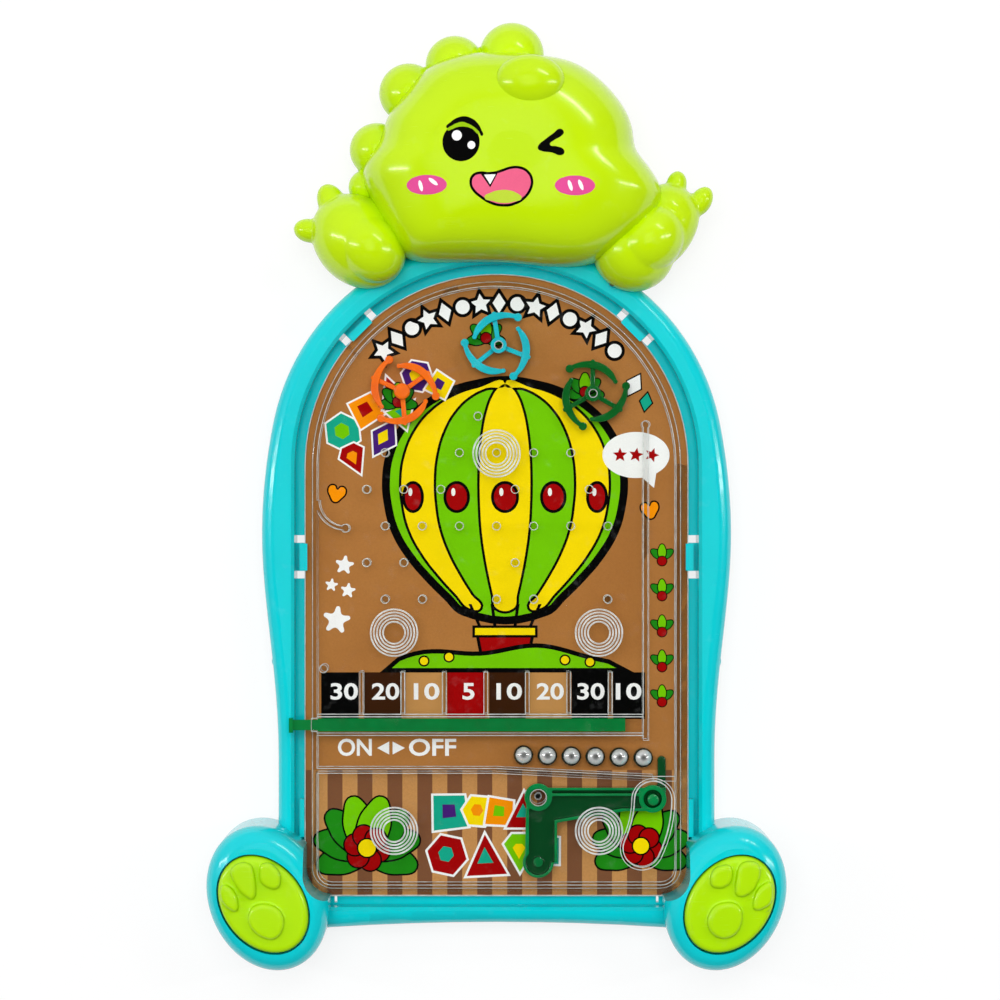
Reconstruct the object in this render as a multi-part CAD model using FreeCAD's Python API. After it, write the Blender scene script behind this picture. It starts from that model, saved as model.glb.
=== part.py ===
import FreeCAD, Part
import math
import os

# Hand-held pinball toy: a moulded frame with feet, arms and a spiked animal head,
# and in it a clear game box over a printed card. It lies on its back: +Z points
# at the player, +Y points at the head. Everything is in millimetres.

# Steel balls and the depth of the game box
BALL_D = 6.35
BALL_HEADROOM = 1.65
BALL_REST_GAP = 0.2
BALL_COUNT = 6
BALL_SPACING = 7.6
BALL_ROW_SLOPE_DEG = 1.25
BALL_KICKER_GAP = 1.4
BALL_SHELF_GAP = 2.4
LEDGE_Z = 6.0
LEDGE_T = 2.0
PLATE_T = 2.0
CARD_T = 0.5
COVER_T = 1.8
WALL_T = 1.8
FLANGE_T = 1.5

# Outline of the game box: an arch on straight sides
BOX_R = 58.5
BOX_DROP = 134.3
BOX_CORNER_R = 6.4
BOX_MARGIN = 2.4
COVER_EDGE_R = 0.8

# Frame round the game box
FRAME_GAP = 5.6
FRAME_BAND = 8.2
FRAME_BULGE = 2.3
FRAME_WAIST = 3.0
FRAME_WIDEST_DROP = 20.3
FRAME_WAIST_DROP = 93.5
FRAME_ARC_END_DEG = 12.0
FRAME_DEPTH = 16.4
FRAME_SEAM_Z = 12.0
FRAME_ROUND_R = 4.2
FRAME_BACK_R = 2.0
FRAME_INNER_BEVEL = 1.0
FRAME_WALL = 1.8
FRAME_FLOOR = 2.0
BAR_BAND = 7.3
BAR_RISE = 2.2
BAR_CORNER_R = 9.0
LEDGE_UNDER = 3.9

# Slots and snap fingers in the recess round the box
FINGER_W = 8.6
FINGER_T = 1.5
FINGER_PLAY = 0.2
FINGER_LIP = 1.0
FINGER_LIP_T = 1.1
SLOT_W = 2.4
LOW_SLOT_X = 51.3
LOW_SLOT_W = 0.8
LOCATOR_DROP = 112.0
LOCATOR_L = 12.0
LOCATOR_H = 4.4
SIDE_FINGER_DROP = 29.0
ARCH_FINGER_DEG = 45.0

# Feet, each a tilted oval, and the paw pad set in it
FOOT_LONG_R = 23.3
FOOT_SHORT_R = 18.3
FOOT_TILT_DEG = 67.6
FOOT_OUTSET = 2.4
FOOT_RAISE = 11.8
FOOT_DEPTH = 34.0
FOOT_ROUND_R = 6.5
FOOT_BACK_R = 3.0
FOOT_WALL = 2.2
FOOT_BOX_GAP = 1.8
FOOT_SCREW_BITE = 8.0
PAW_LONG_R = 16.5
PAW_SHORT_R = 12.5
PAW_TILT_DEG = 52.3
PAW_SHIFT_X = 0.9
PAW_SHIFT_Y = 1.3
PAW_RECESS = 7.0
PAW_FLOOR = 2.0
PAW_PLAY = 0.5
PAW_PROUD = 0.4
PAW_EDGE_R = 1.6
PAW_BUMP = 2.4
PAW_PIN_R = 1.5
PAW_PIN_PLAY = 0.05
PAW_PIN_OFFSET = 7.0
# Toes and pad as shares of the paw's short radius: centre x, centre y, half width, half height
PAW_BUMP_SHARES = [
    (-0.85, 0.15, 0.20, 0.33),
    (-0.48, 0.57, 0.30, 0.46),
    (0.18, 0.71, 0.26, 0.32),
    (0.07, -0.42, 0.46, 0.46),
]

# Head: two shells, a horn bump, and round spikes along the back
HEAD_HALF_W = 47.4
HEAD_HALF_H = 33.0
HEAD_SHIFT_X = 5.3
HEAD_BACK_Z = 3.0
HEAD_PLAY = 0.2
HEAD_DOME_H = 26.0
HEAD_WALL = 2.2
HEAD_BACK_INSET = 1.2
HEAD_BACK_R = 4.0
HEAD_OUTLINE_SHARES = [
    (0.000, 1.000), (-0.220, 1.000), (-0.410, 0.958), (-0.580, 0.835), (-0.732, 0.590),
    (-0.847, 0.356), (-0.903, 0.122), (-0.980, -0.040), (-1.000, -0.202), (-0.960, -0.370),
    (-0.903, -0.562), (-0.827, -0.781), (-0.703, -0.959), (-0.520, -0.997), (0.000, -1.000),
    (0.546, -1.000), (0.794, -0.808), (0.909, -0.670), (0.975, -0.508), (1.000, -0.397),
    (0.975, -0.260), (0.890, -0.069), (0.814, 0.095), (0.798, 0.233), (0.765, 0.399),
    (0.680, 0.590), (0.546, 0.781), (0.375, 0.920), (0.203, 0.971),
]
HEAD_DOME_SHARES = [
    (0.00, 1.000), (0.30, 0.988), (0.55, 0.940), (0.75, 0.850),
    (0.89, 0.700), (0.97, 0.480), (1.00, 0.180),
]
HORN_SHARES = (0.106, 0.660, 0.228, 0.249)
HORN_RISE = 6.0
HORN_Z_SHARE = 0.83
# Spikes as shares of the head's half width: centre x, centre y, radius
SPIKE_SHARES = [
    (-0.986, -0.185, 0.114),
    (-0.912, 0.062, 0.180),
    (-0.698, 0.443, 0.197),
    (-0.391, 0.630, 0.194),
    (-0.010, 0.697, 0.214),
]
SPIKE_BACK_GAP = 1.8564

# Arms, each a group of rounded lobes: centre x, centre y, rise, long and short radius, tilt
ARM_R = 16.4
ARM_Z = 18.5
ARM_SHELL = 2.4
ARM_ROOM_SHARE = 0.66
ARM_PLAY = 0.3
ARM_LEFT_OUTSET = 1.37188
ARM_RIGHT_OUTSET = -7.99667
ARM_STANDOFF = 10.9
ARM_LEFT_LOBE_SHARES = [
    (0.00, 0.00, 0.00, 1.00, 0.83, -45.0),
    (0.23, -0.15, 0.34, 0.73, 0.62, -45.0),
    (-0.52, 0.74, 0.00, 0.38, 0.27, 115.0),
    (-0.96, 0.20, 0.00, 0.30, 0.23, 168.0),
]
ARM_RIGHT_LOBE_SHARES = [
    (-0.08, -0.13, 0.00, 0.80, 0.80, 0.0),
    (0.40, 0.23, 0.00, 0.96, 0.635, 50.0),
    (0.57, 0.58, 0.00, 0.58, 0.58, 0.0),
    (0.20, 0.05, 0.30, 0.74, 0.62, 45.0),
    (0.74, 1.13, 0.00, 0.27, 0.20, 80.0),
    (1.21, 0.81, 0.00, 0.31, 0.21, 60.0),
]

# Parts moulded into the clear cover
LANE_W = 8.6
LANE_WALL_T = 1.7
LANE_TOP_RISE = 13.0
LANE_END_DROP = 86.8
PEG_D = 2.5
PEG_SIDE_GAP = 15.575
PEG_PITCH_Y = 11.6
PEG_TOP_RISE = 15.7
# Each row of pegs from the top, as steps of the pitch from the middle
PEG_ROW_STEPS = [
    (-0.5,),
    (-3, -1, 0, 1, 2),
    (-3.5, -2.5, -1.5, 0.5, 2.5),
    (-3, -2, -1, 0, 1, 2, 3),
    (-3.5, -2.5, 0.5),
    (-3, -2, 0, 1, 3),
]
SIDE_PEG_DROP = 64.2
SIDE_PEG_INSET = 2.0
POCKET_FIRST = 13.92
POCKET_COUNT = 8
POCKET_LAST = 10.4
POCKET_WALL_T = 1.2
POCKET_TOP_DROP = 65.2
POCKET_DEPTH = 13.4
DEFLECTOR_R = 9.5
DEFLECTOR_T = 1.2
DEFLECTOR_DROP = 10.9
SHELF_DROP = 95.7
SHELF_T = 1.5
SHELF_FALL = 2.5
SHELF_BRIDGE_T = 0.4
RING_R = 7.5
RING_STEP = 0.97
RING_LINE = 0.28
RING_PROUD = 0.25
RING_COUNT = 5
RING_SIDE_GAP = 24.4
RING_TOP_RISE = 3.8
RING_MID_DROP = 52.7
RING_LOW_DROP = 115.2

# Gate that closes the pockets
GATE_W = 4.1
GATE_T = 1.2
GATE_BALL_GAP = 0.25
GATE_PLAY = 0.4
GATE_TRAVEL = 5.5
GATE_TOOTH_W = 6.0
GATE_LAST_TOOTH_W = 3.0
GATE_FLOOR_GAP = 0.2
GATE_RAIL_T = 0.8
GATE_RAIL_GAP = 0.5
GATE_END_GAP = 0.2
GATE_GRIP_T = 1.3
GATE_GRIP_H = 3.6
GATE_GRIP_W = 4.6
GATE_NECK_W = 3.3
GATE_GRIP_UNDER = 0.2

# Spinners
SPINNER_R = 10.8
SPINNER_T = 3.2
SPINNER_HUB_R = 2.57
SPINNER_BORE_R = 1.34
SPINNER_SPOKE_W = 1.5
SPINNER_TIP_R = 1.3
SPINNER_NUB_R = 0.75
SPINNER_PLAY = 0.06
SPINNER_END_GAP = 0.4
SPINNER_ORBIT_INSET = 18.6
SPINNER_SPOKES = 3
SPINNER_NAMES = ("spinner_orange", "spinner_teal", "spinner_green")
SPINNER_ANGLES_DEG = (141.8, 89.0, 36.8)
SPINNER_FIRST_DEG = (35.0, 98.6, 90.0)
SPINNER_HANDS = (1, 1, -1)
SPINNER_DOMED = (True, False, False)
# Hook of a spoke: angle from the spoke, centre radius and half width as shares of the reach
SPINNER_HOOK_SHARES = [
    (62.0, 0.752, 0.045),
    (40.0, 0.770, 0.100),
    (15.0, 0.815, 0.114),
    (-10.0, 0.870, 0.105),
    (-28.0, 0.935, 0.080),
    (-43.0, 1.000, 0.065),
]

# Launcher lever: a bell crank with a finger knob and a kicker
LEVER_Z_GAP = 2.6
LEVER_T = 4.4
LEVER_WEB_T = 1.9
LEVER_RIM_T = 0.9
LEVER_RING_R = 4.38
LEVER_BORE_R = 2.63
LEVER_PLAY = 0.05
LEVER_ARM_TOP = 3.05
LEVER_ARM_LOW = 4.4
LEVER_HEEL = 8.06
LEVER_LEG_LEFT = 3.8
LEVER_LEG_RIGHT = 6.0
LEVER_LEG_DROP = 20.6
LEVER_BOSS_R = 4.9
LEVER_BOSS_KNOB_R = 1.6
LEVER_KNOB_REACH = 36.2
LEVER_KNOB_DROP = 0.5
LEVER_KNOB_R = 1.8
LEVER_KNOB_RISE = 3.4
LEVER_HOOK_R = 4.4
LEVER_POCKET_R = 2.85
LEVER_PIVOT_DROP = 104.9
LEVER_TRAVEL_DEG = 25.0
KICKER_W = 2.6
KICKER_OFFSET = 3.0
KICKER_RISE = 12.8
KICKER_T = 3.0
KICKER_FLOOR_GAP = 0.4
KICKER_SLOT_PLAY = 1.4
FINGER_SLOT_HALF_W = 5.9
FINGER_SLOT_RIM_T = 0.9
FINGER_SLOT_RIM_H = 1.0
SPRING_WALL = 1.0
SPRING_GAP = 0.3
SPRING_WIRE_R = 0.3
SPRING_LEG = 6.0

# Screws put in from the back
SCREW_R = 1.0
SCREW_HEAD_R = 1.9
SCREW_HEAD_T = 1.4
SCREW_SUNK = 0.5
SCREW_BITE = 3.4
SCREW_SLOT_W = 0.5
SCREW_SLOT_SHARE = 0.7
SCREW_BOSS_R = 3.2
SCREW_INSET = 4.1
SCREW_ARM_BITE = 8.0
SCREW_HEAD_ANGLES_DEG = (80.0, 100.0)
SCREW_BAND_ANGLES_DEG = (22.0, 158.0)
SCREW_SIDE_DROPS = (14.0, 62.0)
SCREW_HEAD_BACK_X_SHARE = 0.50
SCREW_HEAD_BACK_Y_SHARE = 0.30

# One overrun serves every cut
OVER = 1.0

# Heights of the layers of the game box
plate_z = LEDGE_Z + LEDGE_T
card_z = plate_z + PLATE_T
play_z = card_z + CARD_T
play_depth = BALL_D + BALL_HEADROOM
cover_z = play_z + play_depth
cover_top = cover_z + COVER_T

# Lengths above and below the centre of the arch set where the arch lies on Y
frame_inner_r = BOX_R + FRAME_GAP
frame_outer_r = frame_inner_r + FRAME_BAND
frame_widest = frame_outer_r + FRAME_BULGE
frame_side = frame_outer_r - FRAME_WAIST
bar_drop = BOX_DROP + FRAME_GAP + BAR_BAND
foot_drop = bar_drop - FOOT_RAISE


def oval_reach(long_r, short_r, tilt_deg):
    """Half width and half height of a tilted oval."""
    c = math.cos(math.radians(tilt_deg))
    s = math.sin(math.radians(tilt_deg))
    half_w = math.hypot(long_r * c, short_r * s)
    half_h = math.hypot(long_r * s, short_r * c)
    return half_w, half_h


foot_half_w, foot_half_h = oval_reach(FOOT_LONG_R, FOOT_SHORT_R, FOOT_TILT_DEG)
spike_top = max((y + r) * HEAD_HALF_W for x, y, r in SPIKE_SHARES)
reach_up = frame_inner_r + HEAD_HALF_H + spike_top
reach_down = foot_drop + foot_half_h
arch_y = (reach_down - reach_up) / 2

foot_x = frame_side + FOOT_OUTSET
foot_y = arch_y - foot_drop
head_x = HEAD_SHIFT_X
head_y = arch_y + frame_inner_r + HEAD_HALF_H
head_seam_z = FRAME_DEPTH
box_bottom = arch_y - BOX_DROP
spike_z = HEAD_BACK_Z + SPIKE_BACK_GAP + max(r for x, y, r in SPIKE_SHARES) * HEAD_HALF_W
arm_orbit_r = frame_outer_r + ARM_STANDOFF
arm_left_deg = math.degrees(math.acos((head_x - HEAD_HALF_W - ARM_LEFT_OUTSET) / arm_orbit_r))
arm_right_deg = math.degrees(math.acos((head_x + HEAD_HALF_W + ARM_RIGHT_OUTSET) / arm_orbit_r))
box_inner_r = BOX_R - WALL_T
lane_x = box_inner_r - LANE_W
divider_right = lane_x - LANE_WALL_T - POCKET_LAST
pocket_pitch = (divider_right + box_inner_r - POCKET_FIRST) / (POCKET_COUNT - 2)
peg_steps_out = max(abs(step) for row in PEG_ROW_STEPS for step in row)
peg_pitch_x = (box_inner_r - PEG_SIDE_GAP) / peg_steps_out
ring_x = box_inner_r - RING_SIDE_GAP
spinner_orbit_r = box_inner_r - SPINNER_ORBIT_INSET
kicker_x = box_inner_r - LANE_W / 2
gate_y = arch_y - POCKET_TOP_DROP - POCKET_DEPTH - GATE_RAIL_T - GATE_RAIL_GAP - GATE_W / 2
gate_z = play_z + BALL_D + GATE_BALL_GAP
pivot_x = kicker_x - KICKER_OFFSET - LEVER_KNOB_REACH
pivot_y = arch_y - LEVER_PIVOT_DROP
lever_z = play_z + LEVER_Z_GAP
shelf_y = arch_y - SHELF_DROP


def v(x, y, z=0.0):
    return FreeCAD.Vector(x, y, z)


def slab(wire, height):
    """Solid between a flat wire and its copy that much higher."""
    return Part.Face(wire).extrude(v(0, 0, height))


def polygon(points, z):
    return Part.makePolygon([v(x, y, z) for x, y in points] + [v(points[0][0], points[0][1], z)])


def closed_curve(points, z):
    curve = Part.BSplineCurve()
    curve.interpolate(Points=[v(x, y, z) for x, y in points], PeriodicFlag=True)
    return Part.Wire([curve.toShape()])


def block(x0, x1, y0, y1, z0, z1):
    """Box between two corners."""
    return Part.makeBox(x1 - x0, y1 - y0, z1 - z0, v(x0, y0, z0))


def rod(x, y, r, z0, z1):
    return Part.makeCylinder(r, z1 - z0, v(x, y, z0))


def turned(shape, x, y, angle_deg):
    """The shape turned about a vertical line."""
    copy = shape.copy()
    copy.rotate(v(x, y), v(0, 0, 1), angle_deg)
    return copy


def mirrored(shape):
    """The shape on the other side of the middle plane."""
    return shape.mirror(v(0, 0), v(1, 0))


def ellipsoid(x, y, z, rx, ry, rz, tilt_deg=0.0):
    ball = Part.makeSphere(1)
    grow = FreeCAD.Matrix()
    grow.scale(rx, ry, rz)
    egg = turned(ball.transformGeometry(grow), 0, 0, tilt_deg)
    egg.translate(v(x, y, z))
    return egg


def egg(x, y, z, long_r, short_r, tilt_deg):
    """An oval turned about its long axis, which lies level at a tilt."""
    if long_r == short_r:
        return Part.makeSphere(short_r, v(x, y, z))
    oval = Part.Ellipse(v(0, 0), long_r, short_r)
    rim = Part.ArcOfEllipse(oval, 0, math.pi).toShape()
    face = Part.Face(Part.Wire([rim, Part.makeLine(v(-long_r, 0), v(long_r, 0))]))
    upper = face.revolve(v(0, 0), v(1, 0), 180)
    lower = upper.copy()
    lower.rotate(v(0, 0), v(1, 0), 180)
    solid = upper.fuse(lower)
    solid.rotate(v(0, 0), v(0, 0, 1), tilt_deg)
    solid.translate(v(x, y, z))
    return solid


def oval_wire(x, y, long_r, short_r, tilt_deg, z):
    oval = Part.Ellipse(v(0, 0), max(long_r, short_r), min(long_r, short_r))
    wire = Part.Wire([oval.toShape()])
    wire.rotate(v(0, 0), v(0, 0, 1), tilt_deg)
    wire.translate(v(x, y, z))
    return wire


def fused(shape, others):
    """The shape with each of the others joined to it in turn."""
    for other in others:
        shape = shape.fuse(other)
    return shape


def less(shape, tools):
    """The shape with each of the tools cut away in turn."""
    for tool in tools:
        shape = shape.cut(tool)
    return shape


def edges_at(shape, z):
    """Edges that lie flat at a height."""
    near = OVER / 1000
    return [
        e for e in shape.Edges
        if abs(e.BoundBox.ZMin - z) < near and abs(e.BoundBox.ZMax - z) < near
    ]


def rounded(shape, radius, z):
    """The shape with its flat edges at one height rounded."""
    return shape.makeFillet(radius, edges_at(shape, z))


def box_wire(grow, z):
    """Outline of the game box, grown outwards: an arch, two sides and a rounded foot."""
    r = BOX_R + grow
    low = box_bottom - grow
    c = BOX_CORNER_R + grow
    k = c * (1 - math.sqrt(0.5))
    return Part.Wire([
        Part.Arc(v(-r, arch_y, z), v(0, arch_y + r, z), v(r, arch_y, z)).toShape(),
        Part.makeLine(v(r, arch_y, z), v(r, low + c, z)),
        Part.Arc(v(r, low + c, z), v(r - k, low + k, z), v(r - c, low, z)).toShape(),
        Part.makeLine(v(r - c, low, z), v(c - r, low, z)),
        Part.Arc(v(c - r, low, z), v(k - r, low + k, z), v(-r, low + c, z)).toShape(),
        Part.makeLine(v(-r, low + c, z), v(-r, arch_y, z)),
    ])


def frame_wire(inset, z):
    """Outer outline of the frame, drawn in by an inset: arch, swelling sides, arched bottom bar."""
    r = frame_outer_r - inset
    a = math.radians(FRAME_ARC_END_DEG)
    side = frame_side - inset
    low = arch_y - bar_drop + inset
    c = BAR_CORNER_R - inset
    k = c * (1 - math.sqrt(0.5))
    start = v(r * math.cos(a), arch_y + r * math.sin(a), z)
    widest = v(frame_widest - inset, arch_y - FRAME_WIDEST_DROP, z)
    waist = v(side, arch_y - FRAME_WAIST_DROP, z)
    curve = Part.BSplineCurve()
    curve.interpolate(
        Points=[start, widest, waist],
        InitialTangent=v(math.sin(a), -math.cos(a)),
        FinalTangent=v(0, -1),
    )
    right = [
        curve.toShape(),
        Part.makeLine(waist, v(side, low + c, z)),
        Part.Arc(v(side, low + c, z), v(side - k, low + k, z), v(side - c, low, z)).toShape(),
    ]
    left = [e.mirror(v(0, 0), v(1, 0)) for e in right]
    arch = Part.Arc(v(-start.x, start.y, z), v(0, arch_y + r, z), start).toShape()
    bar = Part.Arc(
        v(side - c, low, z), v(0, low + BAR_RISE, z), v(c - side, low, z)
    ).toShape()
    return Part.Wire(Part.__sortEdges__([arch, *right, bar, *left]))


def screw(x, y, z_head, z_tip):
    """A screw put in from the back: a head with a cross slot, and a shank."""
    body = rod(x, y, SCREW_HEAD_R, z_head, z_head + SCREW_HEAD_T)
    body = fused(body, [rod(x, y, SCREW_R, z_head, z_tip)])
    reach = SCREW_HEAD_R * SCREW_SLOT_SHARE
    half = SCREW_SLOT_W / 2
    low = z_head - OVER
    deep = z_head + SCREW_HEAD_T / 2
    body = body.cut(block(x - reach, x + reach, y - half, y + half, low, deep))
    return body.cut(block(x - half, x + half, y - reach, y + reach, low, deep))


def screw_hole(x, y, z_back, z_tip):
    """The room a screw needs: a sunk seat in the back face and a hole."""
    seat = rod(x, y, SCREW_HEAD_R, z_back - OVER, z_back + SCREW_SUNK + SCREW_HEAD_T)
    return fused(seat, [rod(x, y, SCREW_R, z_back, z_tip)])


def on_arch(radius, angle_deg):
    a = math.radians(angle_deg)
    return radius * math.cos(a), arch_y + radius * math.sin(a)


# Where the screws go
screw_arch_r = frame_outer_r - SCREW_INSET
head_screws_at = [on_arch(screw_arch_r, a) for a in SCREW_HEAD_ANGLES_DEG]
arm_screws_at = [
    on_arch(screw_arch_r, arm_left_deg), on_arch(screw_arch_r, arm_right_deg)
]
side_screw_x = frame_inner_r + SCREW_INSET
frame_screws_at = [on_arch(screw_arch_r, a) for a in SCREW_BAND_ANGLES_DEG]
for drop in SCREW_SIDE_DROPS:
    frame_screws_at += [(side_screw_x, arch_y - drop), (-side_screw_x, arch_y - drop)]
head_back_screws_at = [
    (
        head_x + side * HEAD_HALF_W * SCREW_HEAD_BACK_X_SHARE,
        head_y + HEAD_HALF_H * SCREW_HEAD_BACK_Y_SHARE,
    )
    for side in (-1, 1)
]
foot_screws_at = [(foot_x, foot_y), (-foot_x, foot_y)]


def foot_block(z0, z1, inset=0.0):
    """The ovals of both feet between two heights, drawn in by an inset."""
    wire = oval_wire(
        foot_x, foot_y, FOOT_LONG_R - inset, FOOT_SHORT_R - inset, FOOT_TILT_DEG, z0
    )
    return slab(wire, z1 - z0)


def both(shape):
    """A shape and its mirror image."""
    return [shape, mirrored(shape)]


def ledge_cuts(z0, z1):
    """Slots through the ledge: a pair beside each snap finger, and two low ones."""
    slot_in = BOX_R + BOX_MARGIN + FINGER_PLAY
    apart = FINGER_W / 2 + FINGER_PLAY + SLOT_W / 2
    low_y = box_bottom - BOX_MARGIN - FINGER_PLAY
    cuts = []
    for side in (-1, 1):
        y = arch_y - SIDE_FINGER_DROP + side * apart
        cuts += both(block(slot_in, frame_inner_r, y - SLOT_W / 2, y + SLOT_W / 2, z0, z1))
        y = arch_y + side * apart
        slot = block(slot_in, frame_inner_r, y - SLOT_W / 2, y + SLOT_W / 2, z0, z1)
        cuts += both(turned(slot, 0, arch_y, ARCH_FINGER_DEG))
    cuts += both(block(
        LOW_SLOT_X - LOW_SLOT_W / 2, LOW_SLOT_X + LOW_SLOT_W / 2, low_y - SLOT_W, low_y, z0, z1
    ))
    return cuts


def snap_finger(y):
    """A hook that stands on the ledge and reaches over the flange of the clear cover."""
    face = BOX_R + BOX_MARGIN + FINGER_PLAY
    lip_z = play_z + FLANGE_T + FINGER_PLAY
    y0, y1 = y - FINGER_W / 2, y + FINGER_W / 2
    foot_z = LEDGE_Z + LEDGE_T / 2
    post = block(face, face + FINGER_T, y0, y1, foot_z, lip_z + FINGER_LIP_T)
    lip = block(face - FINGER_LIP, face + FINGER_T, y0, y1, lip_z, lip_z + FINGER_LIP_T)
    return fused(post, [lip])


def snap_fingers():
    hooks = both(snap_finger(arch_y - SIDE_FINGER_DROP))
    hooks += both(turned(snap_finger(arch_y), 0, arch_y, ARCH_FINGER_DEG))
    return hooks


def locators():
    """Upright ribs beside the foot of the game box."""
    face = BOX_R + BOX_MARGIN + FINGER_PLAY
    y = arch_y - LOCATOR_DROP
    rib = block(
        face, face + FINGER_T, y - LOCATOR_L / 2, y + LOCATOR_L / 2,
        LEDGE_Z + LEDGE_T / 2, plate_z + LOCATOR_H,
    )
    return both(rib)


def frame_back():
    """Back half of the frame and feet: the flat back, the ledge for the box and the screw seats."""
    tube = rounded(slab(frame_wire(0, 0), FRAME_SEAM_Z), FRAME_BACK_R, 0)
    foot = rounded(foot_block(0, FRAME_SEAM_Z), FOOT_BACK_R, 0)
    shell = fused(tube, both(foot))
    whole = shell.cut(slab(box_wire(FRAME_GAP, -OVER), FRAME_SEAM_Z + 2 * OVER))
    deep = FRAME_SEAM_Z + OVER - FRAME_FLOOR
    keep = slab(box_wire(FRAME_GAP + FRAME_WALL, 0), FRAME_SEAM_Z + 2 * OVER)
    ring_room = slab(frame_wire(FRAME_WALL, FRAME_FLOOR), deep).cut(keep)
    foot_room = foot_block(FRAME_FLOOR, FRAME_FLOOR + deep, FOOT_WALL).cut(keep)
    screws = frame_screws_at + foot_screws_at + head_screws_at + arm_screws_at
    pillars = [rod(x, y, SCREW_BOSS_R, FRAME_FLOOR / 2, FRAME_SEAM_Z) for x, y in screws]
    ledge = slab(box_wire(FRAME_GAP + FRAME_WALL / 2, LEDGE_Z), LEDGE_T)
    ledge = ledge.cut(slab(box_wire(BOX_MARGIN - LEDGE_UNDER, 0), FRAME_SEAM_Z))
    ledge = less(ledge, ledge_cuts(0, FRAME_SEAM_Z))
    body = less(whole, [ring_room, *both(foot_room)])
    body = fused(body, [*pillars, ledge, *snap_fingers(), *locators()])
    return less(body, [screw_hole(x, y, 0, FRAME_SEAM_Z + OVER) for x, y in screws])


def paw_wire(grow, z):
    return oval_wire(
        foot_x + PAW_SHIFT_X, foot_y - PAW_SHIFT_Y,
        PAW_LONG_R + grow, PAW_SHORT_R + grow, PAW_TILT_DEG, z,
    )


def paw_pin_places():
    a = math.radians(PAW_TILT_DEG)
    x, y = foot_x + PAW_SHIFT_X, foot_y - PAW_SHIFT_Y
    return [
        (x + side * PAW_PIN_OFFSET * math.cos(a), y + side * PAW_PIN_OFFSET * math.sin(a))
        for side in (-1, 1)
    ]


def frame_front():
    """Front half of the frame and feet: the rounded rim, and the cups that hold the paws."""
    ring = slab(frame_wire(0, FRAME_SEAM_Z), FRAME_DEPTH - FRAME_SEAM_Z)
    ring = rounded(ring, FRAME_ROUND_R, FRAME_DEPTH)
    ring = ring.cut(slab(box_wire(FRAME_GAP, FRAME_SEAM_Z - OVER), FRAME_DEPTH))
    bevel = Part.makeLoft([
        box_wire(FRAME_GAP, FRAME_DEPTH - FRAME_INNER_BEVEL),
        box_wire(FRAME_GAP + 2 * FRAME_INNER_BEVEL, FRAME_DEPTH + FRAME_INNER_BEVEL),
    ], True, True)
    ring = ring.cut(bevel)
    floor_z = FOOT_DEPTH - PAW_RECESS
    foot = rounded(foot_block(FRAME_SEAM_Z, FOOT_DEPTH), FOOT_ROUND_R, FOOT_DEPTH)
    foot = foot.cut(slab(box_wire(FOOT_BOX_GAP, FRAME_SEAM_Z - OVER), FOOT_DEPTH))
    room = foot_block(FRAME_SEAM_Z - OVER, floor_z - PAW_FLOOR, FOOT_WALL)
    room = room.cut(slab(box_wire(FOOT_BOX_GAP + FOOT_WALL, 0), FOOT_DEPTH))
    x, y = foot_screws_at[0]
    column = rod(x, y, SCREW_BOSS_R, FRAME_SEAM_Z, floor_z - PAW_FLOOR / 2)
    recess = slab(paw_wire(PAW_PLAY, floor_z), PAW_RECESS + OVER)
    holes = [
        rod(px, py, PAW_PIN_R + PAW_PIN_PLAY, floor_z - PAW_FLOOR - OVER, floor_z + OVER)
        for px, py in paw_pin_places()
    ]
    body = fused(ring, both(foot)).cut(both(room))
    body = fused(body, both(column)).cut(both(recess)).cut(both(holes[0]) + both(holes[1]))
    body = body.cut([rod(x, y, SCREW_R, 0, FRAME_SEAM_Z + SCREW_BITE) for x, y in frame_screws_at])
    passing = head_screws_at + arm_screws_at
    body = body.cut([rod(x, y, SCREW_R, 0, FRAME_DEPTH + OVER) for x, y in passing])
    return body.cut([
        rod(x, y, SCREW_R, 0, FRAME_SEAM_Z + FOOT_SCREW_BITE) for x, y in foot_screws_at
    ])


def paw():
    """Right paw: an oval pad with three toes and a heel, on two pins."""
    floor_z = FOOT_DEPTH - PAW_RECESS
    top = FOOT_DEPTH + PAW_PROUD
    body = rounded(slab(paw_wire(0, floor_z), top - floor_z), PAW_EDGE_R, top)
    x, y = foot_x + PAW_SHIFT_X, foot_y - PAW_SHIFT_Y
    within = block(x - PAW_LONG_R, x + PAW_LONG_R, y - PAW_LONG_R, y + PAW_LONG_R,
                   floor_z + PAW_FLOOR, top + PAW_BUMP)
    bumps = []
    for sx, sy, rx, ry in PAW_BUMP_SHARES:
        wide, tall = rx * PAW_SHORT_R, ry * PAW_SHORT_R
        short = min(wide, tall)
        deep = (short ** 2 + PAW_BUMP ** 2) / (2 * PAW_BUMP)
        long = deep * max(wide, tall) / short
        tilt = 90 if tall > wide else 0
        bump = egg(
            x - sx * PAW_SHORT_R, y + sy * PAW_SHORT_R, top + PAW_BUMP - deep, long, deep, tilt
        )
        bumps.append(bump.common(within))
    pins = [
        rod(px, py, PAW_PIN_R, floor_z - PAW_FLOOR, floor_z + PAW_FLOOR)
        for px, py in paw_pin_places()
    ]
    return fused(body, bumps + pins)


def head_wire(inset, z, scale=1.0):
    """Outline of the head, drawn in by an inset or shrunk towards its middle."""
    w = (HEAD_HALF_W - inset) * scale
    h = (HEAD_HALF_H - inset) * scale
    return closed_curve([(head_x + w * x, head_y + h * y) for x, y in HEAD_OUTLINE_SHARES], z)


def head_dome(inset, z0, height):
    sections = [head_wire(inset, z0 + height * up, size) for up, size in HEAD_DOME_SHARES]
    return Part.makeLoft(sections, True, False)


def arch_room(play, z0, z1):
    """The room that the arch of the frame takes, with some play round it."""
    return rod(0, arch_y, frame_outer_r + play, z0, z1)


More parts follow.
